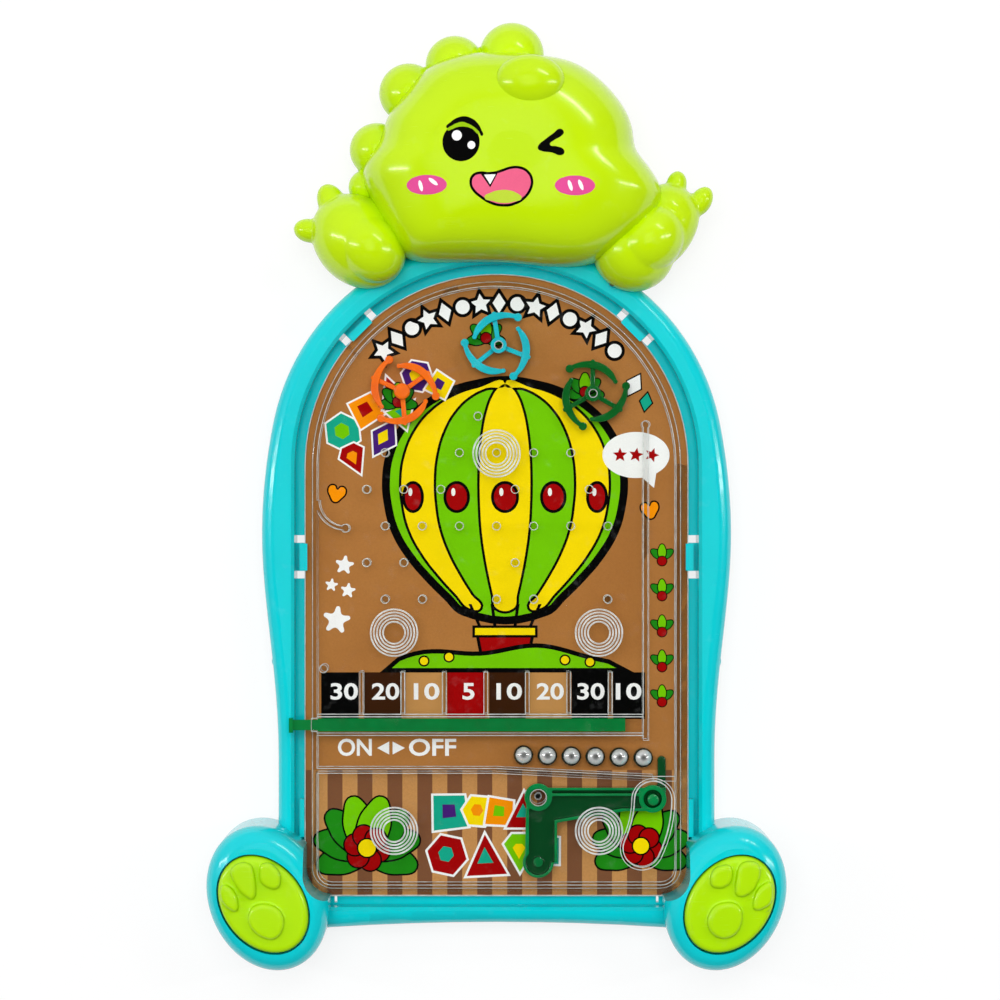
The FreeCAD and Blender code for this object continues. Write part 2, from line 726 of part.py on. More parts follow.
def head_front():
    """Front shell of the head: a puffed dome with a horn bump, and bosses for its screws."""
    outer = head_dome(0, head_seam_z, HEAD_DOME_H)
    sx, sy, rx, ry = HORN_SHARES
    horn = ellipsoid(
        head_x + sx * HEAD_HALF_W, head_y + sy * HEAD_HALF_H,
        head_seam_z + HEAD_DOME_H * HORN_Z_SHARE,
        rx * HEAD_HALF_W, ry * HEAD_HALF_H, HORN_RISE,
    )
    inner = head_dome(HEAD_WALL, head_seam_z, HEAD_DOME_H - HEAD_WALL)
    bosses = [
        rod(x, y, SCREW_BOSS_R, head_seam_z, head_seam_z + HEAD_DOME_H)
        for x, y in head_screws_at + head_back_screws_at
    ]
    shell = fused(outer, [horn]).cut(inner)
    shell = fused(shell, [b.common(outer) for b in bosses])
    return shell.cut([
        rod(x, y, SCREW_R, 0, head_seam_z + SCREW_BITE)
        for x, y in head_screws_at + head_back_screws_at
    ])


def head_back():
    """Back shell of the head, which carries the round spikes and fits over the arch."""
    deep = head_seam_z - HEAD_BACK_Z
    cup = rounded(slab(head_wire(HEAD_BACK_INSET, HEAD_BACK_Z), deep), HEAD_BACK_R, HEAD_BACK_Z)
    spikes = [
        Part.makeSphere(
            r * HEAD_HALF_W, v(head_x + x * HEAD_HALF_W, head_y + y * HEAD_HALF_W, spike_z)
        )
        for x, y, r in SPIKE_SHARES
    ]
    above = slab(head_wire(-HEAD_PLAY, head_seam_z), HEAD_DOME_H)
    wall_inset = HEAD_BACK_INSET + HEAD_WALL
    room = slab(head_wire(wall_inset, HEAD_BACK_Z + HEAD_WALL), deep)
    room = room.cut(arch_room(HEAD_PLAY + HEAD_WALL, 0, head_seam_z + OVER))
    body = fused(cup, spikes).cut(above)
    body = body.cut([room, arch_room(HEAD_PLAY, 0, head_seam_z + OVER)])
    pillars = [
        rod(x, y, SCREW_BOSS_R, HEAD_BACK_Z, head_seam_z) for x, y in head_back_screws_at
    ]
    body = fused(body, pillars)
    return body.cut([
        screw_hole(x, y, HEAD_BACK_Z, head_seam_z + OVER) for x, y in head_back_screws_at
    ])


def arm(angle_deg, lobes, screw_at):
    """One arm: rounded lobes for the hand and claws, open at the back, seated on the arch."""
    x, y = on_arch(arm_orbit_r, angle_deg)

    def lobe(sx, sy, rise, long_share, short_share, tilt):
        return egg(
            x + sx * ARM_R, y + sy * ARM_R, ARM_Z + rise * ARM_R,
            long_share * ARM_R, short_share * ARM_R, tilt,
        )

    solid = fused(lobe(*lobes[0]), [lobe(*shares) for shares in lobes[1:]])
    sx, sy, rise, long_share, short_share, tilt = lobes[0]
    room_top = ARM_Z + short_share * ARM_R * math.sqrt(1 - ARM_ROOM_SHARE ** 2) - ARM_SHELL
    room_wire = oval_wire(
        x + sx * ARM_R, y + sy * ARM_R, long_share * ARM_R * ARM_ROOM_SHARE,
        short_share * ARM_R * ARM_ROOM_SHARE, tilt, 0,
    )
    room = slab(room_wire, room_top).cut(rod(*screw_at, SCREW_BOSS_R, 0, room_top))
    shell = solid.cut(room)
    tall = head_seam_z + HEAD_DOME_H
    shell = less(shell, [
        rod(x, y, 2 * ARM_R, 0, FRAME_SEAM_Z),
        arch_room(ARM_PLAY, 0, FRAME_DEPTH),
        slab(head_wire(-ARM_PLAY, 0), tall),
    ])
    for px, py, pr in SPIKE_SHARES[:2]:
        middle = v(head_x + px * HEAD_HALF_W, head_y + py * HEAD_HALF_W, spike_z)
        shell = shell.cut(Part.makeSphere(pr * HEAD_HALF_W + ARM_PLAY, middle))
    return shell.cut(rod(*screw_at, SCREW_R, 0, FRAME_SEAM_Z + SCREW_ARM_BITE))


def spinner_places():
    """Middles of the three spinners, on an arc under the arch: orange, teal, green."""
    return [on_arch(spinner_orbit_r, a) for a in SPINNER_ANGLES_DEG]


def divider_places():
    last = POCKET_COUNT - 1
    return [divider_right - (last - k) * pocket_pitch for k in range(1, POCKET_COUNT)]


def knob_angles():
    """Angles of the finger knob from the pivot, at rest and pulled down."""
    start = -math.asin(LEVER_KNOB_DROP / LEVER_KNOB_REACH)
    return start, start - math.radians(LEVER_TRAVEL_DEG)


def finger_slot_wire(grow, z):
    """A slot with round ends, bent about the pivot along the path of the finger knob."""
    half = FINGER_SLOT_HALF_W + grow
    start, end = knob_angles()

    def at(radius, angle):
        return v(pivot_x + radius * math.cos(angle), pivot_y + radius * math.sin(angle), z)

    middle = (start + end) / 2
    r0, r1 = LEVER_KNOB_REACH - half, LEVER_KNOB_REACH + half
    tip_up = at(LEVER_KNOB_REACH, start) + v(-half * math.sin(start), half * math.cos(start))
    tip_low = at(LEVER_KNOB_REACH, end) + v(half * math.sin(end), -half * math.cos(end))
    return Part.Wire([
        Part.Arc(at(r1, end), at(r1, middle), at(r1, start)).toShape(),
        Part.Arc(at(r1, start), tip_up, at(r0, start)).toShape(),
        Part.Arc(at(r0, start), at(r0, middle), at(r0, end)).toShape(),
        Part.Arc(at(r0, end), tip_low, at(r1, end)).toShape(),
    ])


def pegs():
    tall = (play_z, cover_z)
    found = []
    for row, steps in enumerate(PEG_ROW_STEPS):
        y = arch_y + PEG_TOP_RISE - row * PEG_PITCH_Y
        found += [rod(s * peg_pitch_x, y, PEG_D / 2, *tall) for s in steps]
    found.append(rod(
        SIDE_PEG_INSET - box_inner_r, arch_y - SIDE_PEG_DROP, PEG_D / 2, *tall
    ))
    found.append(rod(lane_x - LANE_WALL_T / 2, arch_y + LANE_TOP_RISE, PEG_D / 2, *tall))
    return found


def deflector():
    """A quarter ring that turns a ball in from the left wall, with a peg at its end."""
    x, y = DEFLECTOR_R - DEFLECTOR_T / 2 - box_inner_r, arch_y - DEFLECTOR_DROP
    ring = rod(x, y, DEFLECTOR_R, play_z, cover_z)
    ring = ring.cut(rod(x, y, DEFLECTOR_R - DEFLECTOR_T, play_z, cover_z))
    reach = DEFLECTOR_R + OVER
    ring = ring.common(block(x - reach, x, y - reach, y, play_z, cover_z))
    return fused(ring, [rod(x, y - DEFLECTOR_R + DEFLECTOR_T / 2, PEG_D / 2, play_z, cover_z)])


def shelf():
    """The ledge under the balls: flat, then falling towards the kicker."""
    low = shelf_y - SHELF_FALL
    side = BOX_R - WALL_T / 2
    slot_left = kicker_x - KICKER_W / 2 - KICKER_SLOT_PLAY
    plank = slab(polygon([
        (-side, shelf_y), (0, shelf_y), (slot_left, low), (side, low),
        (side, low - SHELF_T), (slot_left, low - SHELF_T), (0, shelf_y - SHELF_T),
        (-side, shelf_y - SHELF_T),
    ], play_z), play_depth)
    return plank.cut(block(
        slot_left, box_inner_r, low - SHELF_T - OVER, low + OVER,
        play_z - OVER, cover_z - SHELF_BRIDGE_T,
    ))


def gate_rails():
    reach = GATE_W / 2 + GATE_RAIL_GAP
    rail_z = gate_z
    left = -BOX_R + WALL_T / 2
    right = lane_x - LANE_WALL_T / 2
    return [
        block(left, right, y, y + GATE_RAIL_T, rail_z, cover_z)
        for y in (gate_y + reach, gate_y - reach - GATE_RAIL_T)
    ]


def ring_places():
    low, mid, top = arch_y - RING_LOW_DROP, arch_y - RING_MID_DROP, arch_y + RING_TOP_RISE
    return [(0, top), (-ring_x, mid), (ring_x, mid), (-ring_x, low), (ring_x, low)]


def rings():
    """Fine raised rings on the front of the cover."""
    found = []
    for x, y in ring_places():
        for k in range(RING_COUNT):
            r = RING_R - k * RING_STEP
            ring = rod(x, y, r, cover_top, cover_top + RING_PROUD)
            found.append(ring.cut(rod(x, y, r - RING_LINE, cover_top, cover_top + RING_PROUD)))
    return found


def clear_cover():
    """Clear moulding: front, walls and flange, with all that guides the balls inside."""
    outer = slab(box_wire(0, play_z), cover_top - play_z)
    outer = rounded(outer, COVER_EDGE_R, cover_top)
    flange = slab(box_wire(BOX_MARGIN, play_z), FLANGE_T)
    body = fused(outer, [flange]).cut(slab(box_wire(-WALL_T, play_z - OVER), play_depth + OVER))
    lane_left = lane_x - LANE_WALL_T
    parts = [block(
        lane_left, lane_x, arch_y - LANE_END_DROP, arch_y + LANE_TOP_RISE, play_z, cover_z
    )]
    pocket_top = arch_y - POCKET_TOP_DROP
    for x in divider_places():
        parts.append(block(
            x - POCKET_WALL_T / 2, x + POCKET_WALL_T / 2,
            pocket_top - POCKET_DEPTH, pocket_top, play_z, cover_z,
        ))
    for x, y in spinner_places()[1:]:
        parts.append(rod(x, y, SPINNER_BORE_R - SPINNER_PLAY, play_z, cover_z))
    parts.append(rod(pivot_x, pivot_y, LEVER_BORE_R - LEVER_PLAY, play_z, cover_z))
    parts += pegs() + [deflector(), shelf()] + gate_rails()
    rim = slab(finger_slot_wire(FINGER_SLOT_RIM_T, cover_top), FINGER_SLOT_RIM_H)
    body = fused(body, parts)
    body = fused(body, [rim, *rings()])
    half = GATE_NECK_W / 2 + GATE_PLAY
    notch = block(
        -BOX_R - OVER, -box_inner_r + OVER, gate_y - half, gate_y + half,
        gate_z - GATE_PLAY / 2, cover_z,
    )
    slot = slab(finger_slot_wire(0, cover_z - OVER), COVER_T + 2 * OVER + FINGER_SLOT_RIM_H)
    bite = rod(pivot_x, pivot_y, SCREW_R, play_z - OVER, play_z + SCREW_BITE)
    return body.cut([notch, slot, bite])


def plate_layer(z, thick):
    """A flat layer with the outline of the game box, drilled for the launcher's screw."""
    layer = slab(box_wire(BOX_MARGIN, z), thick)
    return layer.cut(rod(pivot_x, pivot_y, SCREW_R, z - OVER, z + thick + OVER))


def play_card():
    x, y = spinner_places()[0]
    return plate_layer(card_z, CARD_T).cut(rod(x, y, SPINNER_BORE_R, 0, cover_z))


def back_plate():
    """Back of the game box, bored for the pin of the orange spinner."""
    x, y = spinner_places()[0]
    return plate_layer(plate_z, PLATE_T).cut(rod(x, y, SPINNER_BORE_R - SPINNER_PLAY, 0, cover_z))


def spinner_pin():
    """Pin of the orange spinner, set in the back plate."""
    x, y = spinner_places()[0]
    top = cover_z - COVER_T - SPINNER_END_GAP
    return rod(x, y, SPINNER_BORE_R - SPINNER_PLAY, plate_z, top)


def hook_outline(hand):
    """Both edges of a spoke's hook, swept along its angles."""
    outer, inner = [], []
    for angle, reach, half in SPINNER_HOOK_SHARES:
        a = math.radians(angle) * hand
        for edge, r in ((outer, reach + half), (inner, reach - half)):
            edge.append(v(SPINNER_R * r * math.cos(a), SPINNER_R * r * math.sin(a)))
    return outer, inner


def spinner(place, first_deg, hand, domed):
    """A hub with three spokes, each ending in a hook with a ball at its tip."""
    x, y = place
    z0 = (play_z + cover_z - SPINNER_T) / 2
    outer, inner = hook_outline(hand)
    out_curve, in_curve = Part.BSplineCurve(), Part.BSplineCurve()
    out_curve.interpolate(Points=outer)
    in_curve.interpolate(Points=inner)
    wire = Part.Wire(Part.__sortEdges__([
        out_curve.toShape(), Part.makeLine(outer[-1], inner[-1]),
        in_curve.toShape(), Part.makeLine(inner[0], outer[0]),
    ]))
    hook = slab(wire, SPINNER_T)
    half = SPINNER_SPOKE_W / 2
    foot_reach = SPINNER_R * SPINNER_HOOK_SHARES[2][1]
    spoke = block(SPINNER_HUB_R / 2, foot_reach, -half, half, SPINNER_T / 4, SPINNER_T * 3 / 4)
    parts = [hook, spoke]
    tip_angle = math.radians(SPINNER_HOOK_SHARES[-1][0]) * hand
    tip_x, tip_y = SPINNER_R * math.cos(tip_angle), SPINNER_R * math.sin(tip_angle)
    parts.append(rod(tip_x, tip_y, SPINNER_TIP_R, 0, SPINNER_T))
    parts.append(rod(foot_reach + SPINNER_TIP_R, 0, SPINNER_NUB_R, 0, SPINNER_T))
    tail_angle = math.radians(SPINNER_HOOK_SHARES[0][0]) * hand
    tail_r = SPINNER_R * SPINNER_HOOK_SHARES[0][1]
    parts.append(rod(
        tail_r * math.cos(tail_angle), tail_r * math.sin(tail_angle),
        SPINNER_NUB_R, 0, SPINNER_T,
    ))
    arms = []
    for k in range(SPINNER_SPOKES):
        for part in parts:
            moved = turned(part, 0, 0, first_deg + k * 360 / SPINNER_SPOKES)
            moved.translate(v(x, y, z0))
            arms.append(moved)
    top = cover_z - SPINNER_END_GAP
    hub = rod(x, y, SPINNER_HUB_R, play_z + SPINNER_END_GAP, top)
    if domed:
        hub = rounded(hub, SPINNER_NUB_R, top)
    bore_top = top - COVER_T if domed else top + OVER
    bore = rod(x, y, SPINNER_BORE_R, play_z, bore_top)
    return fused(hub, arms).cut(bore)


def gate_slider():
    """A bar with teeth under the pockets, a neck through the wall and a grip outside."""
    strip_left = -box_inner_r + GATE_END_GAP
    strip_right = lane_x - LANE_WALL_T - GATE_TRAVEL - GATE_END_GAP
    y0, y1 = gate_y - GATE_W / 2, gate_y + GATE_W / 2
    strip = block(strip_left, strip_right, y0, y1, gate_z, gate_z + GATE_T)
    walls = [-box_inner_r, *divider_places()]
    teeth = []
    for left, right in zip(walls[:-1], walls[1:]):
        middle = (left + right) / 2
        teeth.append((middle - GATE_TOOTH_W / 2, middle + GATE_TOOTH_W / 2))
    teeth.append((strip_right - GATE_LAST_TOOTH_W, strip_right))
    low = play_z + GATE_FLOOR_GAP
    parts = [block(a, b, y0, y1, low, gate_z + GATE_T) for a, b in teeth]
    grip_in = -BOX_R - GATE_END_GAP - GATE_TRAVEL
    neck = block(
        grip_in - GATE_GRIP_T / 2, strip_left + OVER,
        gate_y - GATE_NECK_W / 2, gate_y + GATE_NECK_W / 2, gate_z, gate_z + GATE_T,
    )
    grip_z = FRAME_DEPTH + GATE_GRIP_UNDER
    grip = block(
        grip_in - GATE_GRIP_T, grip_in, gate_y - GATE_GRIP_W / 2, gate_y + GATE_GRIP_W / 2,
        grip_z, grip_z + GATE_GRIP_H,
    )
    return fused(strip, [*parts, neck, grip])


def launcher_lever():
    """Bell crank: a ring on the post, a long arm to the knob and kicker, and a short leg."""
    knob_x, knob_y = LEVER_KNOB_REACH, -LEVER_KNOB_DROP
    kick_x = KICKER_OFFSET + LEVER_KNOB_REACH
    outline = [
        (-LEVER_LEG_LEFT, 0), (0, LEVER_ARM_TOP), (knob_x, LEVER_ARM_TOP),
        (knob_x, -LEVER_ARM_LOW), (knob_x - LEVER_HOOK_R * 2, -LEVER_ARM_LOW),
        (LEVER_LEG_RIGHT, -LEVER_HEEL), (LEVER_LEG_RIGHT, -LEVER_LEG_DROP),
        (-LEVER_LEG_LEFT - LEVER_RIM_T / 2, -LEVER_LEG_DROP),
    ]
    plate = slab(polygon(outline, 0), LEVER_T)
    crank = fused(plate, [rod(0, 0, LEVER_RING_R, 0, LEVER_T)])
    crank = fused(crank, [rod(0, -LEVER_LEG_DROP, LEVER_BOSS_R, 0, LEVER_T)])
    crank = fused(crank, [rod(knob_x, knob_y, LEVER_HOOK_R, 0, LEVER_T)])
    t = LEVER_RIM_T
    web = slab(polygon([
        (t - LEVER_LEG_LEFT, 0), (0, LEVER_ARM_TOP - 3 * t), (knob_x - t, LEVER_ARM_TOP - 3 * t),
        (knob_x - t, t - LEVER_ARM_LOW), (knob_x - LEVER_HOOK_R * 2 - t, t - LEVER_ARM_LOW),
        (LEVER_LEG_RIGHT - t, t - LEVER_HEEL), (LEVER_LEG_RIGHT - t, -LEVER_LEG_DROP),
        (t - LEVER_LEG_LEFT, -LEVER_LEG_DROP),
    ], LEVER_WEB_T), LEVER_T)
    cup = rod(0, -LEVER_LEG_DROP, LEVER_BOSS_R - t, LEVER_WEB_T, LEVER_T + OVER)
    pocket = rod(knob_x, knob_y, LEVER_POCKET_R, LEVER_WEB_T, LEVER_T + OVER)
    groove = block(
        LEVER_RING_R, knob_x - LEVER_HOOK_R, LEVER_ARM_TOP - 2 * t, LEVER_ARM_TOP - t,
        LEVER_WEB_T, LEVER_T + OVER,
    )
    web = web.cut(rod(0, 0, LEVER_RING_R, 0, LEVER_T * 2))
    web = web.cut(rod(knob_x, knob_y, LEVER_HOOK_R, 0, LEVER_T * 2))
    crank = crank.cut([web, cup, pocket, groove])
    foot_z = KICKER_FLOOR_GAP - LEVER_Z_GAP
    tip_y = KICKER_RISE - KICKER_W / 2
    kicker = block(
        kick_x - KICKER_W / 2, kick_x + KICKER_W / 2, 0, tip_y, foot_z, foot_z + KICKER_T
    )
    kicker_tip = rod(kick_x, tip_y, KICKER_W / 2, foot_z, foot_z + KICKER_T)
    root = block(
        kick_x - KICKER_W / 2, kick_x + KICKER_W / 2, -LEVER_KNOB_DROP, LEVER_ARM_TOP,
        foot_z, LEVER_T - t,
    )
    knob = rod(knob_x, knob_y, LEVER_KNOB_R, LEVER_WEB_T / 2, LEVER_T + LEVER_KNOB_RISE)
    knob = rounded(knob, LEVER_KNOB_R / 3, LEVER_T + LEVER_KNOB_RISE)
    small = rod(0, -LEVER_LEG_DROP, LEVER_BOSS_KNOB_R, LEVER_WEB_T / 2, LEVER_T - t)
    pocket_clear = pocket.cut(knob)
    crank = fused(crank, [root, kicker, kicker_tip]).cut(pocket_clear)
    crank = fused(crank, [knob, small])
    crank = crank.cut(rod(0, 0, LEVER_BORE_R, -OVER, LEVER_T + OVER))
    crank.translate(v(pivot_x, pivot_y, lever_z))
    return crank


def launcher_spring():
    """Return spring under the lever: a wound sleeve round the post, with two straight legs."""
    inner = LEVER_BORE_R - LEVER_PLAY + SPRING_GAP
    z0, z1 = play_z, lever_z - SPRING_GAP
    coil = rod(pivot_x, pivot_y, inner + SPRING_WALL, z0, z1)
    middle = (z0 + z1) / 2
    start = v(pivot_x, pivot_y, middle)
    legs = [
        Part.makeCylinder(SPRING_WIRE_R, inner + SPRING_LEG, start, direction)
        for direction in (v(1, 0), v(0, -1))
    ]
    return fused(coil, legs).cut(rod(pivot_x, pivot_y, inner, z0 - OVER, z1 + OVER))


def ball(number):
    """One ball of the row that lies on the card, counted from the left."""
    r = BALL_D / 2
    right_x = kicker_x - KICKER_W / 2 - BALL_KICKER_GAP - r
    right_y = shelf_y - SHELF_FALL + BALL_SHELF_GAP + r
    back = (BALL_COUNT - number) * BALL_SPACING
    rise = back * math.tan(math.radians(BALL_ROW_SLOPE_DEG))
    return Part.makeSphere(r, v(right_x - back, right_y + rise, play_z + BALL_REST_GAP + r))


def frame_screws():
    shanks = [screw(x, y, SCREW_SUNK, FRAME_SEAM_Z + SCREW_BITE) for x, y in frame_screws_at]
    shanks += [screw(x, y, SCREW_SUNK, FRAME_SEAM_Z + FOOT_SCREW_BITE) for x, y in foot_screws_at]
    return Part.makeCompound(shanks)


def head_screws():
    found = [screw(x, y, SCREW_SUNK, head_seam_z + SCREW_BITE) for x, y in head_screws_at]
    found += [
        screw(x, y, HEAD_BACK_Z + SCREW_SUNK, head_seam_z + SCREW_BITE)
        for x, y in head_back_screws_at
    ]
    return Part.makeCompound(found)


def arm_screws():
    tip = FRAME_SEAM_Z + SCREW_ARM_BITE
    return Part.makeCompound([screw(x, y, SCREW_SUNK, tip) for x, y in arm_screws_at])


def pivot_screw():
    return screw(pivot_x, pivot_y, plate_z - SCREW_HEAD_T, play_z + SCREW_BITE)


right_paw = paw()
nodes = {
    "frame_back": frame_back(),
    "frame_front": frame_front(),
    "head_back": head_back(),
    "head_front": head_front(),
    "arm_left": arm(arm_left_deg, ARM_LEFT_LOBE_SHARES, arm_screws_at[0]),
    "arm_right": arm(arm_right_deg, ARM_RIGHT_LOBE_SHARES, arm_screws_at[1]),
    "paw_left": mirrored(right_paw),
    "paw_right": right_paw,
    "clear_cover": clear_cover(),
    "play_card": play_card(),
    "back_plate": back_plate(),
    "spinner_pin": spinner_pin(),
    "gate_slider": gate_slider(),
    "launcher_lever": launcher_lever(),
    "launcher_spring": launcher_spring(),
    "frame_screws": frame_screws(),
    "head_screws": head_screws(),
    "arm_screws": arm_screws(),
    "pivot_screw": pivot_screw(),
}
for name, place, first_deg, hand, domed in zip(
    SPINNER_NAMES, spinner_places(), SPINNER_FIRST_DEG, SPINNER_HANDS, SPINNER_DOMED
):
    nodes[name] = spinner(place, first_deg, hand, domed)
for number in range(1, BALL_COUNT + 1):
    nodes[f"ball_{number}"] = ball(number)

os.makedirs("parts", exist_ok=True)
for name, shape in nodes.items():
    shape.exportStep(f"parts/{name}.step")
    box = shape.BoundBox
    print(
        f"{name}: {len(shape.Solids)} solids, valid {shape.isValid()}, {shape.Volume:.0f} mm3, "
        f"x {box.XMin:.1f} to {box.XMax:.1f}, y {box.YMin:.1f} to {box.YMax:.1f}, "
        f"z {box.ZMin:.1f} to {box.ZMax:.1f}"
    )
print("launcher pivot", round(pivot_x, 3), round(pivot_y, 3))
print("spinners", [(round(x, 3), round(y, 3)) for x, y in spinner_places()])
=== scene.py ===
import math

import bpy
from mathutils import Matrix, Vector


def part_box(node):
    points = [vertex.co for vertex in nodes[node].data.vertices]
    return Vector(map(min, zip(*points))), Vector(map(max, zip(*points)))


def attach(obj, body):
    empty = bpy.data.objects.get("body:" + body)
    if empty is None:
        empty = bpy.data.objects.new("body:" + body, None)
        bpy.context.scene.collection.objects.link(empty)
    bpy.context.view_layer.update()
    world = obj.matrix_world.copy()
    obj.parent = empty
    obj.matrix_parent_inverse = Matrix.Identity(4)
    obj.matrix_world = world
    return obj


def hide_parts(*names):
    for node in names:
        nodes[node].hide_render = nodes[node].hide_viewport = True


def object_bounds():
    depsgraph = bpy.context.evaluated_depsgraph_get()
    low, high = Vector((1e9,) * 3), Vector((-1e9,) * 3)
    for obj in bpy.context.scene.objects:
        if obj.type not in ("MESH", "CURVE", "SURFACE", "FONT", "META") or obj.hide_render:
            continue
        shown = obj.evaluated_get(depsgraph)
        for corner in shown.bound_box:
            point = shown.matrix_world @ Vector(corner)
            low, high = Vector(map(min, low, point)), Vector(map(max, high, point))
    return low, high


# Looks of the pinball toy. Lengths are metres; prints are placed by photograph pixels and laid on
# the card or the head that carries them.

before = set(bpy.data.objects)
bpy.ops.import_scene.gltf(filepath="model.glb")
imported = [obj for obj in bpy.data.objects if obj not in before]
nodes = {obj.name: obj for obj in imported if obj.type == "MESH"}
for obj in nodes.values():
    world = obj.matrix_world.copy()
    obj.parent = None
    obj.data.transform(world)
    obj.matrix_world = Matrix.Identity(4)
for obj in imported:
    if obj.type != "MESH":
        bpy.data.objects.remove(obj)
cad_low, cad_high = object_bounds()

PHOTO_MIDDLE = 500.0
CAMERA_HEIGHT = 1.0
CAMERA_X = 0.0011
CAMERA_BELOW_ARCH = 0.01084
LENS_MM = 111.85
SENSOR_MM = 36.0
PIXELS_PER_METRE_AT_1M = LENS_MM / SENSOR_MM * 2 * PHOTO_MIDDLE

COVER_ARCH_R = 0.0585
INK_T = 0.00002
INK_STEP = 0.000004

# The card's stripes, in photograph pixels
STRIPES_FROM_PX = 335.0
STRIPE_PAIR_PX = 29.95
STRIPES_BELOW_PX = 770.0

card_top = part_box("play_card")[1].z
arch_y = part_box("play_card")[1].y - 0.0024 - COVER_ARCH_R
camera_y = arch_y - CAMERA_BELOW_ARCH


# Placing
def seen(px, py, z):
    """Where the photograph's pixel lies on the level z."""
    reach = (CAMERA_HEIGHT - z) / PIXELS_PER_METRE_AT_1M
    return CAMERA_X + (px - PHOTO_MIDDLE) * reach, camera_y - (py - PHOTO_MIDDLE) * reach


def pixel_size(z):
    return (CAMERA_HEIGHT - z) / PIXELS_PER_METRE_AT_1M


def tint(red, green, blue, alpha=1.0):
    """A colour as it is seen, as the light values Blender works in."""
    def light(part):
        part = part / 255
        return part / 12.92 if part <= 0.04045 else ((part + 0.055) / 1.055) ** 2.4
    return (light(red), light(green), light(blue), alpha)


# Finishes
class Strand:
    """One output of a finish's nodes, with arithmetic."""

    def __init__(self, finish, socket):
        self.finish = finish
        self.socket = socket

    def sum_of(self, operation, *values):
        settings = {"operation": operation}
        return self.finish.node("ShaderNodeMath", settings, dict(enumerate(values)))

    def __add__(self, other):
        return self.sum_of("ADD", self, other)

    def __sub__(self, other):
        return self.sum_of("SUBTRACT", self, other)

    def __rsub__(self, other):
        return self.sum_of("SUBTRACT", other, self)

    def __mul__(self, other):
        return self.sum_of("MULTIPLY", self, other)

    def __lt__(self, other):
        return self.sum_of("LESS_THAN", self, other)

    __radd__ = __add__
    __rmul__ = __mul__


class Finish:
    """A material, or the light all round, built node by node."""

    def __init__(self, name, owner=None):
        self.owner = owner or bpy.data.materials.new(name)
        self.owner.use_nodes = True
        self.tree = self.owner.node_tree
        self.tree.nodes.clear()

    def node(self, kind, settings=None, inputs=None, output=0):
        made = self.tree.nodes.new(kind)
        for key, value in (settings or {}).items():
            if key == "stops":
                ramp = made.color_ramp
                while len(ramp.elements) < len(value):
                    ramp.elements.new(0.5)
                for element, (place, colour) in zip(ramp.elements, value):
                    element.position = place
                    element.color = colour
            else:
                setattr(made, key, value)
        for key, value in (inputs or {}).items():
            socket = made.inputs[key]
            if isinstance(value, Strand):
                self.tree.links.new(value.socket, socket)
            else:
                socket.default_value = value
        return Strand(self, made.outputs[output]) if made.outputs else made

    def place(self):
        return self.node("ShaderNodeTexCoord", output="Object")

    def noise(self, place, scale, detail=2.0, rough=0.5):
        inputs = {"Vector": place, "Scale": scale, "Detail": detail, "Roughness": rough}
        return self.node("ShaderNodeTexNoise", None, inputs)

    def axes(self, place):
        parts = self.tree.nodes.new("ShaderNodeSeparateXYZ")
        self.tree.links.new(place.socket, parts.inputs[0])
        return [Strand(self, parts.outputs[k]) for k in range(3)]

    def mix(self, share, first, second, blend="MIX"):
        settings = {"data_type": "RGBA", "blend_type": blend}
        return self.node("ShaderNodeMix", settings, {0: share, 6: first, 7: second}, 2)

    def spread(self, value, low, high, to_low=0.0, to_high=1.0):
        inputs = {0: value, 1: low, 2: high, 3: to_low, 4: to_high}
        return self.node("ShaderNodeMapRange", {"clamp": True}, inputs)

    def bump(self, height, strength, distance):
        inputs = {"Height": height, "Strength": strength, "Distance": distance}
        return self.node("ShaderNodeBump", None, inputs)

    def surface(self, inputs):
        return self.node("ShaderNodeBsdfPrincipled", None, inputs)

    def show(self, shader, kind="ShaderNodeOutputMaterial"):
        self.node(kind, None, {"Surface": shader})
        return self.owner


def moulded(name, colour, deep, rough=0.15, coat=0.25, grain=0.000006):
    """Glossy moulded plastic: slow clouds of tone, a fine skin and faint rubbed scratches."""
    finish = Finish(name)
    place = finish.place()
    cloud = finish.noise(place, 28.0, 2.0)
    skin = finish.noise(place, 1400.0, 2.0)
    streak_place = finish.node(
        "ShaderNodeMapping", {"vector_type": "POINT"},
        {"Vector": place, "Rotation": (0.0, 0.0, 0.6), "Scale": (1.0, 26.0, 1.0)},
    )
    streaks = finish.spread(finish.noise(streak_place, 120.0, 3.0), 0.66, 0.74)
    base = finish.mix(finish.spread(cloud, 0.35, 0.65, 0.0, 0.35), colour, deep)
    wear = finish.spread(finish.noise(place, 210.0, 3.0), 0.62, 0.80, 0.0, 0.02)
    base = finish.mix(wear, base, (1.0, 1.0, 1.0, 1.0))
    roughness = rough + 0.10 * streaks + 0.06 * cloud
    return finish.show(finish.surface({
        "Base Color": base, "Roughness": roughness, "Coat Weight": coat, "Coat Roughness": 0.06,
        "Specular IOR Level": 0.5, "Normal": finish.bump(skin, 0.35, grain),
    }))


def tinted_plastic(name, colour, deep, low, high, rough=0.12):
    """See-through coloured plastic, with painted shade where it is low and a painted highlight along its
    raised rims.
    """
    finish = Finish(name)
    place = finish.place()
    # Painted shade and highlight: darker low down, lighter on the raised rims, by height alone
    painted_rim_light = finish.spread(finish.axes(place)[2], low, high)
    cloud = finish.noise(place, 160.0, 2.0)
    skin = finish.noise(place, 900.0, 2.0)
    base = finish.mix(painted_rim_light, deep, colour)
    base = finish.mix(finish.spread(cloud, 0.3, 0.7, 0.0, 0.4), base, deep)
    return finish.show(finish.surface({
        "Base Color": base, "Roughness": rough + 0.08 * cloud, "Coat Weight": 0.6,
        "Coat Roughness": 0.05, "Normal": finish.bump(skin, 0.3, 0.00005),
    }))


